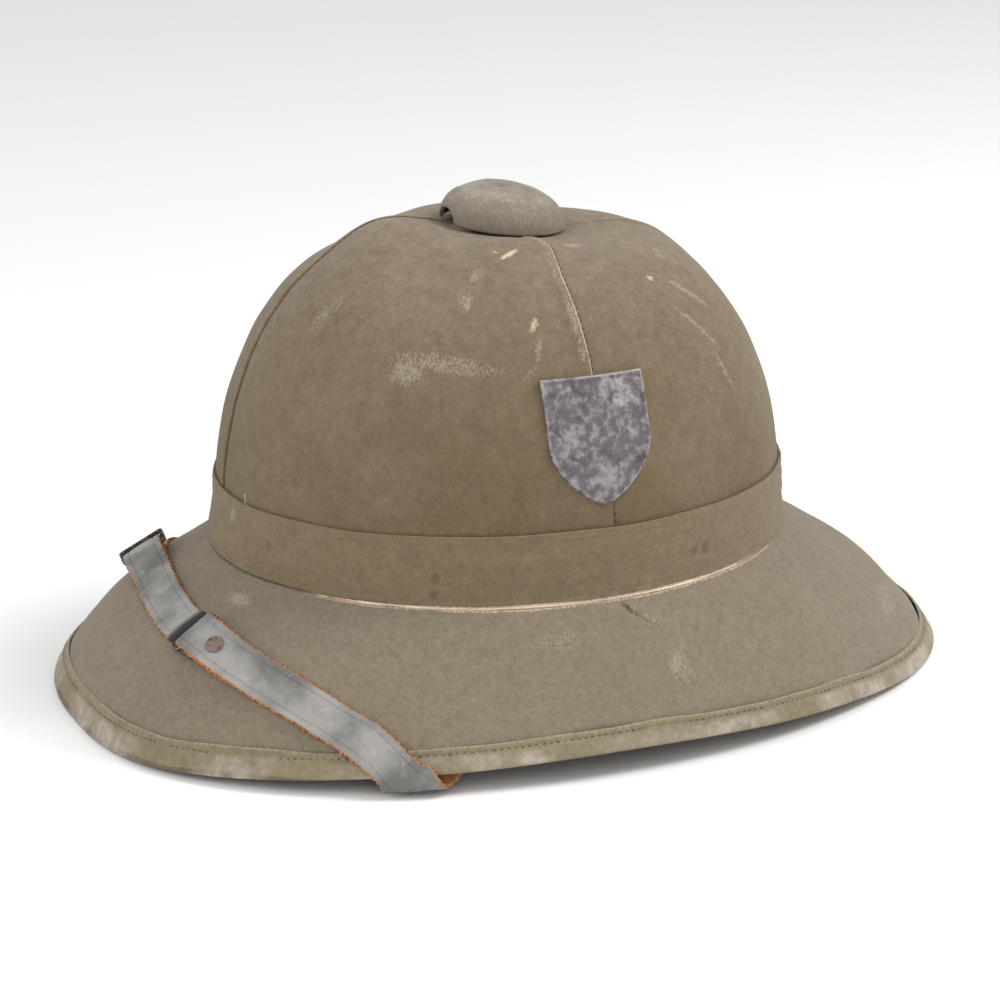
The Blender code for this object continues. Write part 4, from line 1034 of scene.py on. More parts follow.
def binding_tape(material):
    """Tape folded over the rim: a soft upper fold, a stitched groove, a rounded rim and a level underside."""
    angles = ring_angles(720)
    rim, outward, _, _, length = rim_frame(angles)
    ring = rim + 0 * length[:, None]
    width = BINDING_WIDTH + 0.00025 * ripple(ring, 0.040, 51)
    fine = np.array([0, 0.05, 0.15, 0.3, 0.5, 0.8, 1.1, 1.4, 1.7, 1.9, 2.1, 2.3, 2.5, 2.7, 2.9, 3.2, 3.6])
    fine = fine / 1000
    from_edge = np.concatenate([fine, np.linspace(0.0041, BINDING_WIDTH - 0.0026, 10)])[:, None]
    run = run_back(angles, width - from_edge)
    base = brim_point(angles, run, -WRAP)
    height = WRAP - 0.0006 * (1 - round_edge(from_edge, 0.0007)) - 0.0004 * ease(from_edge, 0.0045, 0.0005)
    height = height + 0.00018 * bell(from_edge, 0.0010, 0.0008)
    height = height - BINDING_GROOVE * bell(from_edge, BINDING_STITCH, 0.0005)
    pucker = np.cos(angles * 2 * np.pi * length.mean() / STITCH_PITCH * 3)
    height = height + 0.00011 * ripple(base, 0.010, 52) * ease(from_edge, 0.0002, 0.0012)
    height = height + 0.00008 * pucker * bell(from_edge, BINDING_STITCH, 0.0009)
    height = height + 0.00025 * (ripple(base, 0.045, 53) - 0.6) * ease(from_edge, 0.0030, 0.0060)
    leg = brim_point(angles, run, -height)
    low = rim - outward * 0.0022
    corner = rim - outward * 0.0001
    turn = np.linspace(0, 1, 12)[1:, None, None]
    rounded = cubic(leg[-1], leg[-1] * 0.42 + corner * 0.58, low * 0.42 + corner * 0.58, low, turn)
    level = rim - outward * np.linspace(0.0035, RIM_ROUND + REST_WIDTH, 4)[:, None, None]
    under_turn = run_at_rise(angles, UNDER_OUTER, 2 * RIM_ROUND)
    under_end = under_turn - BINDING_UNDER / length
    share = np.linspace(0, 1, 8)[:, None]
    beneath = brim_point(angles, under_turn + (under_end - under_turn) * share, UNDER_OUTER)
    inside = [
        brim_point(angles, under_end, UNDER_INNER),
        brim_point(angles, run_at_rise(angles, UNDER_INNER, CLOTH), UNDER_INNER),
        brim_point(angles, run_at_rise(angles, -GAP, CLOTH), -GAP),
        brim_point(angles, run_back(angles, width), -GAP),
    ]
    section = np.concatenate([leg, rounded, level, beneath, np.stack(inside)])
    down = lengths_along(section)
    flat = np.stack([angles * 0.15 + 0 * down, down], axis=-1)
    spoiled = np.clip(0.75 + 0.4 * ripple(section, 0.040, 55), 0, 1.15)
    grime = ease(down, 0.0034, 0.0058) * ease(down, 0.0300, 0.0200) * spoiled
    chafe = 0.55 * bell(down, 0.0006, 0.0008) * (1 - grime)
    # Painted shade: the tape is darkened evenly from round the rim's edge over its underside.
    spot = 0.85 * ease(down, 0.0098, 0.0112) * ease(down, 0.0200, 0.0150)
    add_wall("binding_tape", section, flat, True, material, "binding_cloth", ["edge_binding"],
             grime=grime, chafe=chafe, spot=spot)


def cap_seat():
    """Height of the crown's dish under the button's rim."""
    return float(crown_height(CAP_RADIUS / CROWN_HALF_WIDTH, 0.0)) + GAP


def vent_button(material):
    """Cloth-covered dome with an arched notch in front and a shallow dimple where its post pulls it down."""
    angles = ring_angles(180)
    from_front = np.abs(np.arctan2(np.cos(angles), -np.sin(angles)))
    notch = NOTCH_HEIGHT * np.clip(1 - (from_front / NOTCH_HALF_ANGLE) ** 2, 0, 1) ** 0.5
    share = np.concatenate([[0, 0.006, 0.016, 0.03, 0.05], np.linspace(0.08, 1.0, 44)])[:, None]
    sides = []
    for wall in (0.0, CAP_WALL):
        radius, height = CAP_RADIUS - wall, CAP_HEIGHT - wall
        notch_turn = np.arcsin((notch / height) ** (CAP_POWER / 2))
        turn = notch_turn + (np.pi / 2 - notch_turn) * share
        flat = radius * np.clip(np.cos(turn), 0, 1) ** (2 / CAP_POWER)
        rise = height * np.sin(turn) ** (2 / CAP_POWER)
        if not wall:
            rise = rise - CAP_DIMPLE_DEPTH * bell(flat, 0.0, CAP_DIMPLE_RADIUS * 0.55)
            rise = rise + 0.00025 * bell(flat, CAP_DIMPLE_RADIUS, 0.0022)
            flat = flat - 0.0005 * (1 - round_edge(rise - notch, 0.0008))
            uneven = np.stack([flat * np.cos(angles), flat * np.sin(angles), rise], axis=-1)
            rise = rise + 0.00014 * ripple(uneven, 0.012, 61) * ease(share, 0.05, 0.3)
        x, y = flat * np.cos(angles), CAP_BACK + flat * np.sin(angles)
        sides.append(np.stack([x, y, cap_seat() + rise - tilt_drop(x, y)], axis=-1))
    outer, inner = sides
    section = np.concatenate([outer[::-1], inner])
    flat = np.stack([section[..., 0], section[..., 1] + section[..., 2] * 0.7], axis=-1)
    local = outer - np.array([0.0, CAP_BACK, cap_seat()])
    local[..., 2] += tilt_drop(outer[..., 0], outer[..., 1])
    radius = np.hypot(local[..., 0], local[..., 1])
    worn = 0.6 * bell(radius, 0.0130, 0.0060) * np.clip(0.75 + 0.5 * ripple(local, 0.012, 62), 0, 1)
    chafe = np.concatenate([worn[::-1], 0 * worn])
    # Painted shade darkens the button's inside and its lower edge all round; the middle of the dimple is also
    # darker.
    dimple = 0.55 * bell(radius, 0.0, 0.0050) + 0.9 * bell(local[..., 2] - notch, 0.0, 0.0007)
    dark = np.concatenate([dimple[::-1], 0.95 + 0 * dimple])
    add_round("vent_button", section, flat, material, "button_twill", ["vent_cap"], chafe=chafe, spot=dark)


def turned_section(profile, centre, axis_x, axis_y, axis_z, columns):
    """Rings of a turned piece from radius and height pairs about an axis."""
    angles = np.arange(columns) * 2 * np.pi / columns
    spokes = np.cos(angles)[:, None] * axis_x + np.sin(angles)[:, None] * axis_y
    radii, heights = np.array(profile).T[:, :, None, None]
    return centre + spokes * radii + axis_z * heights


def vent_nut(material):
    """Post with a round nut beneath the shell, its edges eased."""
    top = cap_seat() + CAP_HEIGHT - CAP_WALL - 0.0015
    nut_top = float(crown_height(VENT_HOLE_REACH * 0.97, SHELL_INNER)) - GAP
    low = nut_top - STEM_NUT_HEIGHT
    profile = [(0, low), (0.0040, low), (0.0044, low + 0.0006), (0.0070, low + 0.0006), (0.0074, low),
               (STEM_NUT_RADIUS - 0.0006, low), (STEM_NUT_RADIUS - 0.0002, low + 0.0002),
               (STEM_NUT_RADIUS, low + 0.0006), (STEM_NUT_RADIUS, nut_top - 0.0003),
               (STEM_NUT_RADIUS - 0.0003, nut_top), (STEM_RADIUS, nut_top), (STEM_RADIUS, top), (0, top)]
    section = turned_section(profile, np.array([0.0, CAP_BACK, 0.0]), *np.eye(3), 48)
    section[..., 2] -= tilt_drop(section[..., 0], section[..., 1])
    proud = np.zeros(section.shape[:2])
    proud[4:7] = 1
    add_round("vent_nut", section, section[..., :2], material, "dark_steel", ["vent_stem"], proud=proud)


def badge_half_width(share):
    """Half width of the shield at a share of its height: straight sides above a rounded point."""
    foot = np.clip(1 - share / BADGE_SHOULDER, 0, 1)
    return BADGE_WIDTH / 2 * (1 - foot**BADGE_POWER) ** (1 / BADGE_POWER)


def badge_point(across, share, proud):
    """Point of the badge: metres across from its middle, share of its height, proud of the crown's cloth."""
    reach = reach_at(BADGE_FOOT + BADGE_HEIGHT * share * BADGE_LEAN)
    back = BADGE_BACK + across + BADGE_TILT * BADGE_HEIGHT * (1 - share)
    return crown_point(back / (CROWN_HALF_LENGTH * reach), reach, -proud)


def badge_plate(material):
    """Bare shield plate: a raised rim as wide all round, worn bright, and a field that is slightly beaten."""
    near = np.array([0, 0.1, 0.25, 0.45, 0.7, 1.0, 1.3, 1.55, 1.8, 2.1, 2.5]) / 1000
    low = np.linspace(0.03, 0.5, 44) ** 1.5
    share = np.concatenate([low, np.linspace(0.37, 0.93, 40), 1 - near[::-1] / BADGE_HEIGHT])
    half = badge_half_width(share)
    slant = np.gradient(half, share * BADGE_HEIGHT)
    skew = np.sqrt(1 + slant**2)
    scale = np.minimum(1.0, half * 0.8 / (near[-1] * skew)) * skew
    side = half - near[:, None] * scale
    inner_half = side[-1]
    middle = np.linspace(-1, 1, 38)[1:-1, None] * inner_half
    across = np.concatenate([-side, middle, side[::-1]]).T
    share = share[:, None] + 0 * across
    to_side = (half[:, None] - np.abs(across)) / skew[:, None]
    to_edge = np.minimum(to_side, (1 - share) * BADGE_HEIGHT)
    rim = ease(to_edge, BADGE_RIM_WIDTH + 0.0005, BADGE_RIM_WIDTH - 0.0003)
    base = badge_point(across, share, 0.0)
    height = GAP + BADGE_WALL + BADGE_RIM * rim - 0.0008 * (1 - round_edge(to_edge, 0.0008))
    height += 0.00010 * ripple(base, 0.006, 71) * (1 - rim) + 0.00005 * ripple(base, 0.004, 72)
    outer = badge_point(across, share, height)
    inner = badge_point(across, share, GAP)
    section = two_sides(outer, inner)
    upper = ease(share, 0.82, 1.0)
    rubbed = bell(to_edge, BADGE_RIM_WIDTH * 0.4, BADGE_RIM_WIDTH * 0.5)
    proud = np.maximum((0.50 + 0.45 * upper) * rubbed, 0.12)
    for patch in BADGE_PATCHES:
        distance = np.hypot(across - patch["across"], (share - patch["up"]) * BADGE_HEIGHT)
        proud = proud + patch["strength"] * bell(distance, 0.0, patch["size"])
    flat = np.stack([across, share * BADGE_HEIGHT], axis=-1)
    add_wall("badge_plate", section, flat, False, material, "badge_alloy", ["badge"],
             proud=two_sides(proud, proud * 0))


def rim_curve(angle, turn):
    """Slack curve of the strap round the rim: a cubic from the end of its way over to its way under."""
    over_end = run_at_rise(angle, -WRAP, 2 * RIM_ROUND)
    under_end = run_at_rise(angle, UNDER_OUTER, 3 * RIM_ROUND)
    ends = []
    for run, depth in ((over_end, -STRAP_ROOM - WRAP), (under_end, UNDER_OUTER + STRAP_UNDER_ROOM)):
        end = brim_point(angle, run, depth)
        ends.extend([end, end + STRAP_SLACK * unit(end - brim_point(angle, run - 0.03, depth))])
    top_end, top_slack, low_end, low_slack = ends
    return cubic(top_end, top_slack, low_slack, low_end, np.asarray(turn)[..., None])


CURVE_TURNS = np.linspace(0, 1, 401)
CURVE_SAMPLE = rim_curve(np.radians(-30.0) + 0 * CURVE_TURNS, CURVE_TURNS)
CURVE_LENGTHS = lengths_along(CURVE_SAMPLE)


def strap_bed(angle, way):
    """Surface that the strap lies on, just clear of the cloth, by way in about the brim's slope length.

    Way 0 to 1 runs down over the brim to the rim, the next RIM_WAY goes round the rim on a slack curve, the
    next 1 up beneath the brim to the crown's foot, and the last INSIDE_WAY up the inside of the crown.
    """
    length = rim_frame(angle)[4]
    beneath = 1 + RIM_WAY
    foot_run = (COVER_FOOT_BARE * 2) / length
    over_end = run_at_rise(angle, -WRAP, 2 * RIM_ROUND)
    step_run = run_back(angle, BINDING_WIDTH + STRAP_STEP_BACK)
    run = foot_run + (over_end - foot_run) * np.clip(way, 0, 1)
    step = ease(run, step_run, step_run + STRAP_STEP_SPAN / length)
    over = brim_point(angle, run, -STRAP_ROOM - WRAP * step)
    under_start = run_at_rise(angle, UNDER_OUTER, 3 * RIM_ROUND)
    under_run = under_start * (1 - np.clip(way - beneath, 0, 1))
    under = brim_point(angle, under_run, UNDER_OUTER + STRAP_UNDER_ROOM)
    climb = ANCHOR_CLIMB * np.maximum((way - beneath - 1) / INSIDE_WAY, 0)
    inside = crown_point(angle, reach_at(climb), UNDER_OUTER + STRAP_UNDER_ROOM)
    turned = np.clip((way - 1) / RIM_WAY, 0, 1) * CURVE_LENGTHS[-1]
    curve = rim_curve(angle, np.interp(turned, CURVE_LENGTHS, CURVE_TURNS))
    way = np.asarray(way)[..., None]
    return np.where(way < 1, over, np.where(way < beneath, curve, np.where(way < beneath + 1, under, inside)))


def route_column(column, before):
    """Values of a column of the route, padded by a value before the first and by the last itself."""
    return np.array([before] + [row[column] for row in STRAP_ROUTE] + [STRAP_ROUTE[-1][column]])


def route_at(position):
    """Angle and way along the strap's route, its place counted in table rows, minus on the wearer's right."""
    place = np.abs(position)
    angles = route_column("from_front", -STRAP_ROUTE[1]["from_front"])
    from_front = np.sign(position) * smooth_curve(angles, place)
    left = smooth_curve(route_column("way_left", STRAP_ROUTE[1]["way_right"]), place)
    right = smooth_curve(route_column("way_right", STRAP_ROUTE[1]["way_left"]), place)
    return np.radians(from_front) - np.pi / 2, np.where(position < 0, right, left)


class StrapWay:
    """The strap's whole way from the anchor on the wearer's right to the one on the left, by arc length."""

    def __init__(self):
        last = len(STRAP_ROUTE) - 1
        self.positions = np.linspace(-last, last, 1401)
        angle, way = route_at(self.positions)
        lengths = lengths_along(strap_bed(angle, way))
        self.lengths = lengths - np.interp(0.0, self.positions, lengths)

    def length_at_angle(self, from_front):
        """Distance of the strap's middle at an angle from the front, negative on the wearer's right."""
        angle, way = route_at(self.positions)
        return float(np.interp(from_front, np.degrees(angle + np.pi / 2)[way < 1], self.lengths[way < 1]))

    def points(self, distance, across, height):
        """Points at distances along the way, shares across the strap and heights above its bed."""
        distance, across, height = np.broadcast_arrays(distance, across, height)
        position = np.interp(distance, self.lengths, self.positions)
        angle, way = route_at(position)
        by_angle, by_way = bed_steps(angle, way, 0.010, 0.030)
        aa = np.sum(by_angle * by_angle, axis=-1)
        ww = np.sum(by_way * by_way, axis=-1)
        aw = np.sum(by_angle * by_way, axis=-1)
        ahead, behind = route_at(position + 0.12), route_at(position - 0.12)
        turn, step = ahead[0] - behind[0], ahead[1] - behind[1]
        long = np.sqrt(aa * turn**2 + 2 * aw * turn * step + ww * step**2) * np.sqrt(aa * ww - aw**2)
        aside = STRAP_WIDTH / 2 * across / long
        angle = angle + aside * (aw * turn + ww * step)
        way = way - aside * (aa * turn + aw * step)
        by_angle, by_way = bed_steps(angle, way, 0.004, 0.008)
        return strap_bed(angle, way) + unit(np.cross(by_way, by_angle)) * height[..., None]


def bed_steps(angle, way, turn, step):
    """Change of the strap's bed with the angle and with the way, taken over small steps to both sides."""
    by_angle = (strap_bed(angle + turn, way) - strap_bed(angle - turn, way)) / (2 * turn)
    by_way = (strap_bed(angle, way + step) - strap_bed(angle, way - step)) / (2 * step)
    return by_angle, by_way


STRAP_PATH = StrapWay()

# Heights of the stack where a strap folds round a slider's bar over the strap that slides beneath
UNDER_LAYER = STRAP_WALL / 2
LOW_LAYER = STRAP_WALL * 1.5 + GAP
BAR_MIDDLE = STRAP_WALL * 2 + GAP * 3 + SLIDER_WALL / 2
TOP_LAYER = STRAP_WALL * 2.5 + GAP * 5 + SLIDER_WALL
SEAT_BAR = SLIDER_WALL / 2
FOLD_RADIUS = (TOP_LAYER - LOW_LAYER) / 2
FOLD_OUT = SLIDER_BAR / 2 - GAP + FOLD_RADIUS + STRAP_WALL / 2


def fold_path(bar, back):
    """Distances and heights of a folded end: the return layer, the bend round the bar, then the top layer."""
    middle = (TOP_LAYER + LOW_LAYER) / 2
    centre = bar - SLIDER_BAR / 2 + GAP
    path = [
        (bar + back, UNDER_LAYER),
        (bar + back * 0.80, UNDER_LAYER),
        (bar + min(back * 0.62, TUCK * 1.8), UNDER_LAYER * 1.35),
        (bar + TUCK * 1.2, LOW_LAYER * 0.82),
        (bar + TUCK * 0.7, LOW_LAYER),
        (bar + TUCK * 0.3, LOW_LAYER),
        (bar, LOW_LAYER),
    ]
    for turn in np.radians(np.linspace(-90, 90, 13)):
        path.append((centre - FOLD_RADIUS * np.cos(turn), middle + FOLD_RADIUS * np.sin(turn)))
    path.append((bar, TOP_LAYER))
    path.append((bar + TUCK * 0.3, TOP_LAYER))
    path.append((bar + TUCK * 0.8, TOP_LAYER * 0.93))
    path.append((bar + TUCK * 1.4, TOP_LAYER * 0.72))
    return path


def even_path(path, step=0.00055):
    """Path drawn again in even steps and softened by averaging neighbours with bell-shaped shares."""
    path = np.array(path)
    places = lengths_along(path)
    even = np.linspace(0, places[-1], int(places[-1] / step) + 2)
    line = np.stack([np.interp(even, places, path[:, 0]), np.interp(even, places, path[:, 1])], axis=1)
    reach = np.arange(-4, 5)
    shares = np.exp(-((reach / 1.7) ** 2))
    shares /= shares.sum()
    padded = np.concatenate([2 * line[:1] - line[4:0:-1], line, 2 * line[-1:] - line[-2:-6:-1]])
    return sum(share * padded[4 + shift : 4 + shift + len(line)] for share, shift in zip(shares, reach))


def strap_outline():
    """Outline across the strap: shares across, shares of half the wall, distance in from the nearer edge."""
    top = np.array([0, 0.05, 0.25, 0.6, 1.1, 1.6, 1.95, 2.15, 2.35, 2.5, 2.65, 2.85, 3.1, 3.6, 4.6, 5.8, 6.8])
    level = np.array([0.35, 0.72, 0.94] + [1.0] * 14)
    half_width = STRAP_WIDTH / 2 * 1000
    groove = STRAP_GROOVE_DEPTH / (STRAP_WALL / 2) * bell(top, STRAP_GROOVE_IN * 1000, 0.24)
    level = level - groove - 0.10 * ease(top, 0.9, 0.0)
    left = -1 + top / half_width
    across = np.concatenate([left, -left[::-1]])
    upper = np.concatenate([level, level[::-1]])
    lower = np.array([0.35, 0.78, 0.96] + [1.0] * 14)
    lower = -np.concatenate([lower, lower[::-1]])
    inward = np.concatenate([top, top[::-1], top, top[::-1]])
    return np.concatenate([across, across[::-1]]), np.concatenate([upper, lower]), inward


def strap_piece(name, path, seed, nodes, material, shade_from=1.0):
    """Leather strap along a path of distances and heights: grooved top, eased corners and ragged edges."""
    path = even_path(path)
    tangent = unit(np.gradient(path, axis=0))
    sideways = np.stack([-tangent[:, 1], tangent[:, 0]], axis=-1) * STRAP_WALL / 2
    across, upright, inward = strap_outline()
    count = len(across)
    under = np.arange(count) >= count // 2
    lines = path[None] + sideways[None] * upright[:, None, None]
    lengths = lengths_along(path)
    flat = np.stack([lengths + 0 * across[:, None], across[:, None] * STRAP_WIDTH / 2 + 0 * lengths], axis=-1)
    grain = np.stack([flat[..., 0], flat[..., 1], upright[:, None] * 0.001 + 0 * lengths], axis=-1)
    edge = ease(inward, 0.30, 0.0)[:, None]
    ragged = STRAP_RAGGED / (STRAP_WIDTH / 2) * edge * ripple(grain, 0.0016, seed)
    broad = 0.006 * ripple(grain * [1, 0, 0], 0.020, seed + 1)
    spread = across[:, None] * (1 + ragged + broad - 0.012)
    height = lines[..., 1] + 0.00009 * ripple(grain, 0.009, seed + 2) * (~under[:, None])
    section = STRAP_PATH.points(lines[..., 0], spread, height)
    raw = np.maximum(0.95 * ease(inward, 0.5, 0.05), np.where(under, 1.0, 0.0))[:, None] + 0 * lengths
    raw = np.maximum(raw, 0.35 * bell(inward, STRAP_GROOVE_IN * 1000, 0.3)[:, None])
    ends = np.minimum(lengths, lengths[-1] - lengths)
    raw = np.maximum(raw, ease(ends, 0.0008, 0.0))
    # Painted shade: the value dark rises to 1 over 6 mm past its start and stays there, the shadow where the
    # centre strap slips under the near strap's fold; the raw edges show less there.
    dark = ease(lines[..., 0], shade_from, shade_from + 0.0060)
    raw = raw * (1 - 0.6 * dark)
    add_wall(name, section, flat, False, material, "strap_leather", nodes, raw=raw, dark=dark)


def way_frame(distance):
    """Point on the bed and the along, side and normal directions at a distance."""
    here = STRAP_PATH.points(distance, 0.0, 0.0)
    along = unit(STRAP_PATH.points(distance + 0.0005, 0.0, 0.0) - here)
    normal = unit(STRAP_PATH.points(distance, 0.0, 0.001) - here)
    return here, along, np.cross(normal, along), normal


def round_loop(half_long, half_wide, radius, steps=10):
    """Points round a rectangle with rounded corners, as many to each corner, and four along each side."""
    points = []
    for corner, (sign_long, sign_wide) in enumerate(((1, 1), (-1, 1), (-1, -1), (1, -1))):
        middle = np.array([sign_long * (half_long - radius), sign_wide * (half_wide - radius)])
        turns = np.pi / 2 * (corner + np.linspace(0, 1, steps))
        points.extend(middle + radius * np.stack([np.cos(turns), np.sin(turns)], axis=1))
        following = np.array(points[-1])
        signs = ((-1, 1), (-1, -1), (1, -1), (1, 1))[corner]
        turn = np.pi / 2 * (corner + 1)
        start = np.array([signs[0] * (half_long - radius), signs[1] * (half_wide - radius)])
        start = start + radius * np.array([np.cos(turn), np.sin(turn)])
        points.extend(following + (start - following) * share for share in (0.2, 0.4, 0.6, 0.8))
    return np.array(points)


def slider_ring(name, bar, length, far_height, material):
    """Steel ring: a rectangle with rounded corners and bars of rounded section, tipped as it lies."""
    here, _, side, normal = way_frame(bar)
    low = way_frame(bar - length + SLIDER_BAR)
    near = here + normal * BAR_MIDDLE
    far = low[0] + low[3] * far_height
    lengthwise = unit(near - far)
    side = unit(side + low[2])
    upright = unit(np.cross(lengthwise, side))
    half_long = np.linalg.norm(near - far) / 2 + SLIDER_BAR / 2
    half_wide = STRAP_WIDTH / 2 + SLIDER_ROOM + SLIDER_SIDE
    outer = round_loop(half_long, half_wide, 0.0012)
    inner = round_loop(half_long - SLIDER_BAR, half_wide - SLIDER_SIDE, 0.0004)
    turns = np.arange(20) * 2 * np.pi / 20
    power = 0.55
    outward = np.sign(np.cos(turns)) * np.abs(np.cos(turns)) ** power / 2 + 0.5
    level = np.sign(np.sin(turns)) * np.abs(np.sin(turns)) ** power * SLIDER_WALL / 2
    ring = inner[None] + (outer - inner)[None] * outward[:, None, None]
    section = (near + far) / 2 + ring[..., 0:1] * lengthwise + ring[..., 1:2] * side
    section = section + upright * level[:, None, None]
    proud = ease(outward, 0.80, 1.0)[:, None] * ease(level, 0.0, 0.0005)[:, None] + 0 * ring[..., 0]
    flat = np.stack([level[:, None] + 0 * ring[..., 0], ring[..., 0]], axis=-1)
    add_wall(name, section, flat, True, material, "dark_steel", [name[:-5]], proud=proud)


def rivet_piece(name, distance, low, high, node, material, slope=0.0):
    """Low domed rivet: a rounded rim, a domed head that is slightly flattened, and its shank."""
    centre, along, side, normal = way_frame(distance)
    centre = centre + normal * high
    along, normal = unit(along + normal * slope), unit(normal - along * slope)
    centre = centre - normal * high
    top = high + RIVET_HEAD_HEIGHT
    radius = RIVET_HEAD_RADIUS
    profile = [(0, low), (RIVET_SHANK_RADIUS, low), (RIVET_SHANK_RADIUS, high), (radius - 0.0002, high),
               (radius, high + 0.0002), (radius, high + 0.00035), (radius - 0.0002, high + 0.0006)]
    for share in (0.86, 0.78, 0.66, 0.52, 0.38, 0.24, 0.12):
        profile.append((radius * share, top - (top - high - 0.0005) * share**3.2))
    profile.append((0, top))
    section = turned_section(profile, centre, along, side, normal, 40)
    rise = (section - centre) @ normal
    section = section + normal * (0.00006 * ripple(section, 0.003, 81))[..., None] * (rise > high)[..., None]
    proud = 0.8 * ease(rise, high, top)
    add_round(name, section, section[..., :2], material, "rivet_copper", [node], proud=proud)


def strap_assembly(leather, steel, copper):
    """Two side straps and the centre strap, their sliders and rivets."""
    end = STRAP_PATH.lengths[-1]
    left_bar = STRAP_PATH.length_at_angle(SLIDER_LEFT_ANGLE) + FOLD_OUT
    right_bar = STRAP_PATH.length_at_angle(-SLIDER_RIGHT_ANGLE) + FOLD_OUT
    flat = left_bar + LOOP_RETURN + TUCK
    path = fold_path(left_bar, LOOP_RETURN)
    path += [(left_bar + LOOP_RETURN * 0.85, LOW_LAYER), (flat - TUCK * 0.5, LOW_LAYER)]
    path += [(flat, UNDER_LAYER * 1.6), (flat + TUCK, UNDER_LAYER), (end, UNDER_LAYER)]
    left_path = even_path(path)
    strap_piece("strap_left_leather", path, 90, ["strap_left"], leather)

    path = fold_path(right_bar, LOOP_RETURN_SHORT)
    start = right_bar + LOOP_RETURN_SHORT + TUCK
    reach = left_bar - SLIDER_LENGTH + SLIDER_BAR
    over_bar = SEAT_BAR + SLIDER_WALL / 2 + GAP + STRAP_WALL / 2
    path += [(start, STRAP_WALL * 1.2), (start + TUCK, UNDER_LAYER), (reach - TUCK, UNDER_LAYER)]
    path += [(reach - SLIDER_BAR, over_bar), (reach, over_bar + GAP), (reach + SLIDER_BAR, over_bar)]
    path += [(left_bar - FOLD_OUT + GAP, UNDER_LAYER), (left_bar + TUCK * 0.5, UNDER_LAYER)]
    # The centre strap is painted dark as shade from 13 mm before the near strap's fold. It is fully dark 6 mm
    # on and stays so to its end beneath the fold.
    strap_piece("strap_centre_leather", path, 94, ["strap_centre"], leather, left_bar - FOLD_OUT - 0.0130)

    path = [(-end, UNDER_LAYER), (right_bar - FOLD_OUT, UNDER_LAYER), (right_bar + TUCK * 0.5, UNDER_LAYER)]
    strap_piece("strap_right_leather", path, 98, ["strap_right"], leather)

    slider_ring("slider_left_ring", left_bar, SLIDER_LENGTH, SEAT_BAR, steel)
    slider_ring("slider_right_ring", right_bar, SLIDER_RIGHT_LENGTH, BAR_MIDDLE + SLIDER_RIGHT_LIFT, steel)
    anchor = end - STRAP_WIDTH / 2
    rivet_piece("anchor_left_rivet", anchor, 0.0, STRAP_WALL + GAP, "anchor_left", copper)
    rivet_piece("anchor_right_rivet", -anchor, 0.0, STRAP_WALL + GAP, "anchor_right", copper)
    at = left_bar - FOLD_OUT + RIVET_FROM_LOOP
    upper = left_path[np.argmin(left_path[:, 0]) :]
    seat, ahead = np.interp([at, at + 0.001], upper[:, 0], upper[:, 1])
    head = seat + STRAP_WALL / 2 - 0.00015
    slope = (ahead - seat) / 0.001
    rivet_piece("strap_rivet_head", at, seat - STRAP_WALL / 2, head, "strap_rivet", copper, slope)


def stitch_row(name, line, up, sink, material, seed, pitch=STITCH_PITCH, length=STITCH_LENGTH,
               radius=STITCH_RADIUS):
    """Row of stitches along a line: small closed grains at a pitch, each slightly askew and a little sunk."""
    chance = np.random.default_rng(seed)
    places = lengths_along(line)
    count = int(places[-1] / pitch)
    middles = (np.arange(count) + 0.5) * pitch + chance.normal(0, pitch * 0.04, count)
    at = np.stack([np.interp(middles, places, line[:, axis]) for axis in range(3)], axis=1)
    on = np.stack([np.interp(middles + pitch * 0.2, places, line[:, axis]) for axis in range(3)], axis=1)
    up = unit(np.stack([np.interp(middles, places, up[:, axis]) for axis in range(3)], axis=1))
    along = unit(on - at)
    side = unit(np.cross(up, along))
    along = unit(along + side * chance.normal(0, 0.10, count)[:, None])
    side = unit(np.cross(up, along))
    long = length / 2 * chance.uniform(0.85, 1.1, count)
    rings = np.array([(-1.0, 0.0), (-0.80, 0.62), (-0.35, 0.95), (0.35, 0.95), (0.80, 0.62), (1.0, 0.0)])
    turns = np.arange(6) * np.pi / 3
    points = []
    for place, fatness in rings:
        spokes = 1 if fatness == 0 else 6
        for turn in turns[:spokes]:
            rise = radius * fatness * np.sin(turn) - sink - radius * 0.5 * place**2
            points.append(
                at + along * (long * place)[:, None] + side * (radius * fatness * np.cos(turn)) + up * rise
            )
    points = np.stack(points, axis=1)
    size = points.shape[1]
    ring = np.arange(6)
    following = (ring + 1) % 6
    belt = np.stack([1 + ring, 1 + following, 7 + following, 7 + ring], axis=1)
    quads = np.concatenate([belt + 6 * row for row in range(3)])
    caps = np.concatenate(
        [np.stack([0 * ring, 1 + following, 1 + ring], axis=1),
         np.stack([0 * ring + size - 1, size - 7 + ring, size - 7 + following], axis=1)]
    )
    starts = (np.arange(count) * size)[:, None, None]
    quads = (quads[None] + starts).reshape(-1, 4)
    caps = (caps[None] + starts).reshape(-1, 3)
    flat = points.reshape(-1, 3)
    groups = [(quads, flat[quads][..., :2]), (caps, flat[caps][..., :2])]
    return make_mesh(name, flat, groups, [material], {})


def round_line(surface, offset=0.0005):
    """Line once round from a surface of the angle, and its outward direction there."""
    angles = np.linspace(np.pi / 2, np.pi * 5 / 2, 1600)
    line = surface(angles, 0.0)
    up = unit(surface(angles, offset) - line)
    return line, up


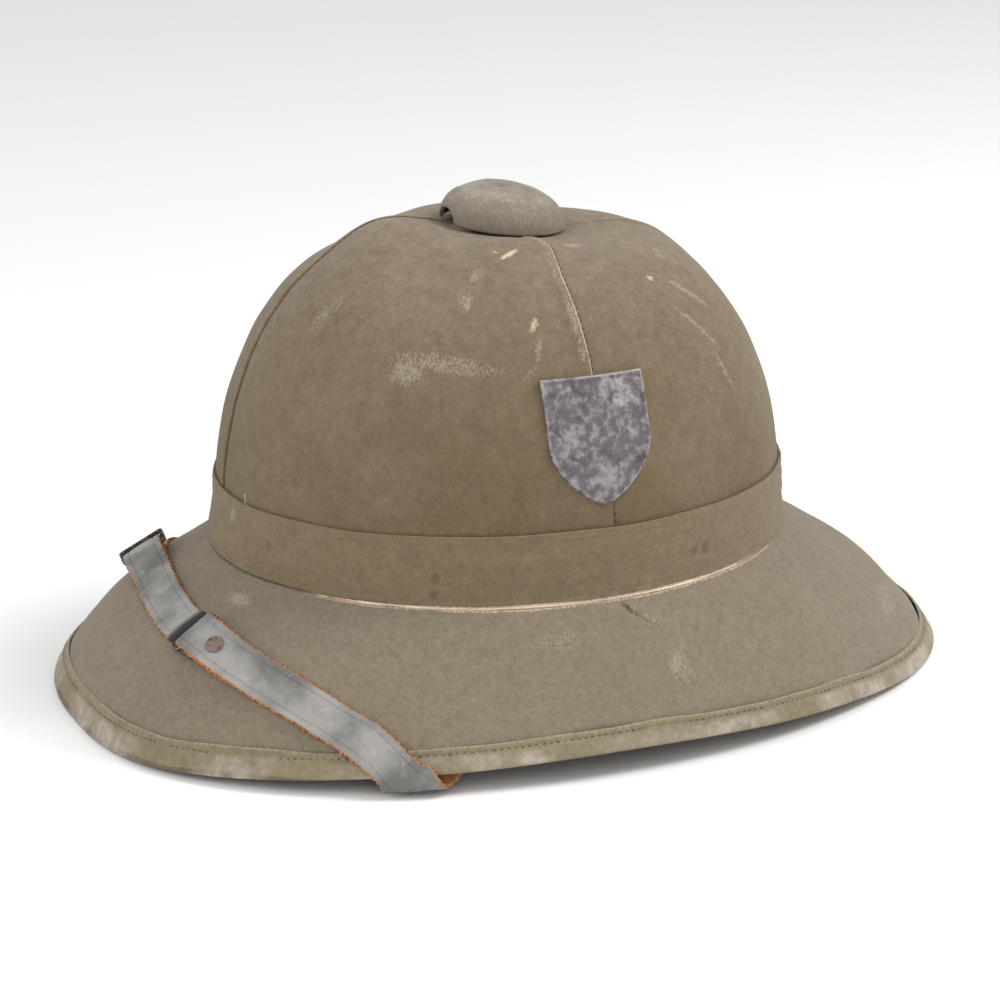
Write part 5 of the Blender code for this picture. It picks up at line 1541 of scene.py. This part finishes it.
def stitching(dark, soft, pale):
    """Needle dots of the crown's seams, the two rows of the band, and the row that holds the binding."""
    climbs = np.linspace(BAND_HEIGHT + 0.0008, CROWN_HEIGHT * 0.998, 400)
    badge_top = BADGE_FOOT + BADGE_HEIGHT * BADGE_LEAN + 0.0012
    for name, degrees, low in (
        ("seam_stitches_left", SIDE_SEAM_BACK, badge_top),
        ("seam_stitches_left_low", SIDE_SEAM_BACK, 0.0),
        ("seam_stitches_back", 90.0, 0.0),
        ("seam_stitches_right", 180.0 - SIDE_SEAM_BACK, 0.0),
        ("seam_stitches_front", 270.0, 0.0),
    ):
        rows = climbs[climbs > low]
        if name.endswith("low"):
            rows = climbs[climbs < BADGE_FOOT - 0.0008]
        reaches = reach_at(rows)
        reaches = reaches[reaches > CAP_RADIUS / CROWN_HALF_WIDTH]
        angle = seam_angle(degrees, reaches) + SEAM_STITCH_TURN / np.maximum(reaches, 0.2)
        line = crown_point(angle, reaches, 0.0)
        up = unit(crown_point(angle, reaches, -0.001) - line)
        thread = dark if name.startswith("seam_stitches_left") else soft
        stitch_row(name, line, up, 0.00010, thread, 201, length=0.0010, radius=0.00026)

    proud = GAP + BAND_WALL + BAND_HEM_RISE - BAND_TOP_GROOVE
    line, up = round_line(lambda angle, rise: band_point(angle, BAND_HEIGHT - BAND_TOP_STITCH, proud + rise))
    stitch_row("band_stitches_top", line, up, 0.00010, soft, 211, length=0.0011, radius=0.00020)
    line, up = round_line(lambda angle, rise: band_point(angle, band_foot(angle) + BAND_LOW_STITCH,
                                                         GAP + BAND_WALL - BAND_LOW_GROOVE + rise))
    stitch_row("band_stitches_low", line, up, 0.00010, soft, 212, length=0.0011, radius=0.00020)
    line, up = round_line(lambda angle, rise: brim_point(
        angle, run_back(angle, BINDING_WIDTH - BINDING_STITCH), -(WRAP - BINDING_GROOVE) - rise))
    stitch_row("binding_stitches_top", line, up, 0.00010, dark, 213, length=0.0013,
               radius=0.00024)
    back = BINDING_UNDER - 0.0018
    line, up = round_line(lambda angle, rise: brim_point(
        angle, run_at_rise(angle, UNDER_OUTER, 2 * RIM_ROUND) - back / rim_frame(angle)[4],
        UNDER_OUTER + rise))
    stitch_row("binding_stitches_under", line, up, 0.0001, pale, 214)


def tube(name, line, radius, material, slot, columns=8):
    """Thin round thread along a line, its ends drawn in to points."""
    along = unit(np.gradient(line, axis=0))
    side = unit(np.cross(along, [0.3, 0.2, 1.0]))
    up = np.cross(side, along)
    turns = np.arange(columns) * 2 * np.pi / columns
    taper = np.minimum(1.0, np.minimum(np.arange(len(line)), np.arange(len(line))[::-1]) / 2.0)
    spokes = side[:, None] * np.cos(turns)[:, None] + up[:, None] * np.sin(turns)[:, None]
    section = line[:, None] + spokes * (radius * taper)[:, None, None]
    add_round(name, section, section[..., :2], material, slot)


def loose_threads(dark, pale):
    """A pale thread that has sprung from the band's top in front, and dark ends in the brim's pucker."""
    share = np.linspace(0, 1, 24)
    angle = np.radians(-78.5 + 1.6 * share)
    line = band_point(angle, BAND_HEIGHT - 0.0006 + 0.0042 * np.sin(share * 2.6), 0.0022 + 0.0022 * share)
    tube("loose_thread_band", line, 0.00016, pale, "band_twill")
    threads = ((3.4, 0.085, 0.150), (3.9, 0.100, 0.190), (4.9, 0.170, 0.235))
    for number, (turn, start, end) in enumerate(threads):
        run = start + (end - start) * share
        angle = np.radians(turn + 1.0 * share + 0.25 * np.sin(share * 5 + number))
        line = brim_point(angle, run, -0.00045 - 0.0004 * np.sin(share * np.pi))
        tube(f"pucker_thread_{number + 1}", line, 0.00013, dark, "brim_cloth")


def studio():
    """Pale floor, a soft key from above the wearer's back, weaker lamps beside and in front, bright world."""
    mesh = bpy.data.meshes.new("studio_floor")
    corners = [(FLOOR_HALF * x, FLOOR_HALF * y, 0) for x, y in ((-1, -1), (1, -1), (1, 1), (-1, 1))]
    mesh.from_pydata(corners, [], [(0, 1, 2, 3)])
    floor = bpy.data.objects.new("studio_floor", mesh)
    bpy.context.scene.collection.objects.link(floor)
    material, _, shader = new_material("matt_white_paper", Roughness=1.0, Specular_IOR_Level=0.0)
    shader.inputs["Base Color"].default_value = (FLOOR_WHITE, FLOOR_WHITE, FLOOR_WHITE, 1.0)
    mesh.materials.append(material)

    for row in LAMPS:
        lamp = bpy.data.lights.new(row["name"], "AREA")
        lamp.size = row["wide"]
        lamp.energy = row["watts"]
        holder = bpy.data.objects.new(row["name"], lamp)
        holder.location = row["place"]
        back = Vector(row["place"]) - Vector(LAMP_AIM)
        holder.rotation_euler = back.to_track_quat("Z", "Y").to_euler()
        bpy.context.scene.collection.objects.link(holder)

    world = bpy.data.worlds.new("studio")
    world.use_nodes = True
    world.node_tree.nodes["Background"].inputs["Color"].default_value = (1.0, 1.0, 1.0, 1.0)
    world.node_tree.nodes["Background"].inputs["Strength"].default_value = WORLD_LIGHT
    bpy.context.scene.world = world
    bpy.context.scene.view_settings.view_transform = "Standard"


def photo_camera():
    """Camera at the photo's angle and distance, aimed so that the helmet sits in the frame as there."""
    turn, rise, roll = np.radians([VIEW_AZIMUTH, VIEW_ELEVATION, VIEW_ROLL])
    back = Vector((np.sin(turn) * np.cos(rise), -np.cos(turn) * np.cos(rise), np.sin(rise)))
    right = Vector((np.cos(turn), np.sin(turn), 0.0))
    up = back.cross(right)
    pivot = Vector((0.0, -FRAME_BACK, VIEW_PIVOT_HEIGHT))
    rolled_right = right * np.cos(roll) + up * np.sin(roll)
    rolled_up = up * np.cos(roll) - right * np.sin(roll)
    data = bpy.data.cameras.new("photo_camera")
    data.lens = LENS_MM
    data.sensor_width = 36.0
    data.clip_end = 20.0
    camera = bpy.data.objects.new("photo_camera", data)
    rotation = Matrix((rolled_right, rolled_up, back)).transposed()
    place = pivot + back * VIEW_DISTANCE + rolled_right * VIEW_AIM_RIGHT - rolled_up * VIEW_AIM_DOWN
    camera.matrix_world = Matrix.Translation(place) @ rotation.to_4x4()
    bpy.context.scene.collection.objects.link(camera)
    bpy.context.scene.camera = camera


def main():
    """Builds every piece, the studio and the camera."""
    fade = (0.060, 0.200)
    crown_twill = worn_cotton("washed_khaki_twill", "#655539", "#897A66", "#574830", fade, 0.95, 0)
    brim_twill = worn_cotton("smooth_brim_cloth", "#807462", "#867A68", "#706556", fade, 0.8, 35)
    band_twill = worn_cotton("khaki_band_twill", "#77674E", "#7F7158", "#62543E", (0.05, 0.20), 0.9, 58)
    button_twill = worn_cotton("faded_button_twill", "#7B7061", "#8C8376", "#6A604F", (0.17, 0.19), 0.7, -24)
    leather = painted_leather()
    steel = aged_metal("blackened_steel", "#2B2826", "#8F8A83", "#161412", 0.55, 260.0)
    copper = aged_metal("tarnished_copper", "#74564D", "#87746C", "#4A352F", 0.60, 700.0)
    alloy = aged_metal("aged_stamped_alloy", "#6A6468", "#9C9595", "#524B52", 0.60, 330.0)
    dark = sewing_thread("dark_cotton_thread", "#4A4032", "#6A5E48")
    soft = sewing_thread("khaki_cotton_thread", "#675C42", "#7D7154")
    pale = sewing_thread("pale_cotton_thread", "#CDBFA4", "#A6977A")

    cork_shell(pressed_cork())
    back, front = SIDE_SEAM_BACK, 360.0 + SIDE_SEAM_BACK
    crown_gore("gore_back_left", back, 90.0, 52, 0.0, crown_twill)
    crown_gore("gore_back_right", 90.0, 180.0 - back, -48, 0.0, crown_twill)
    crown_gore("gore_front_right", 180.0 - back, 270.0, 8, 0.0, crown_twill)
    crown_gore("gore_front_left", 270.0, front, -6, 1.0, crown_twill)
    brim_cloth(brim_twill)
    folded_band(band_twill)
    binding_tape(dusty_binding())
    vent_button(button_twill)
    vent_nut(steel)
    badge_plate(alloy)
    strap_assembly(leather, steel, copper)
    stitching(dark, soft, pale)
    loose_threads(dark, pale)
    studio()
    photo_camera()


main()
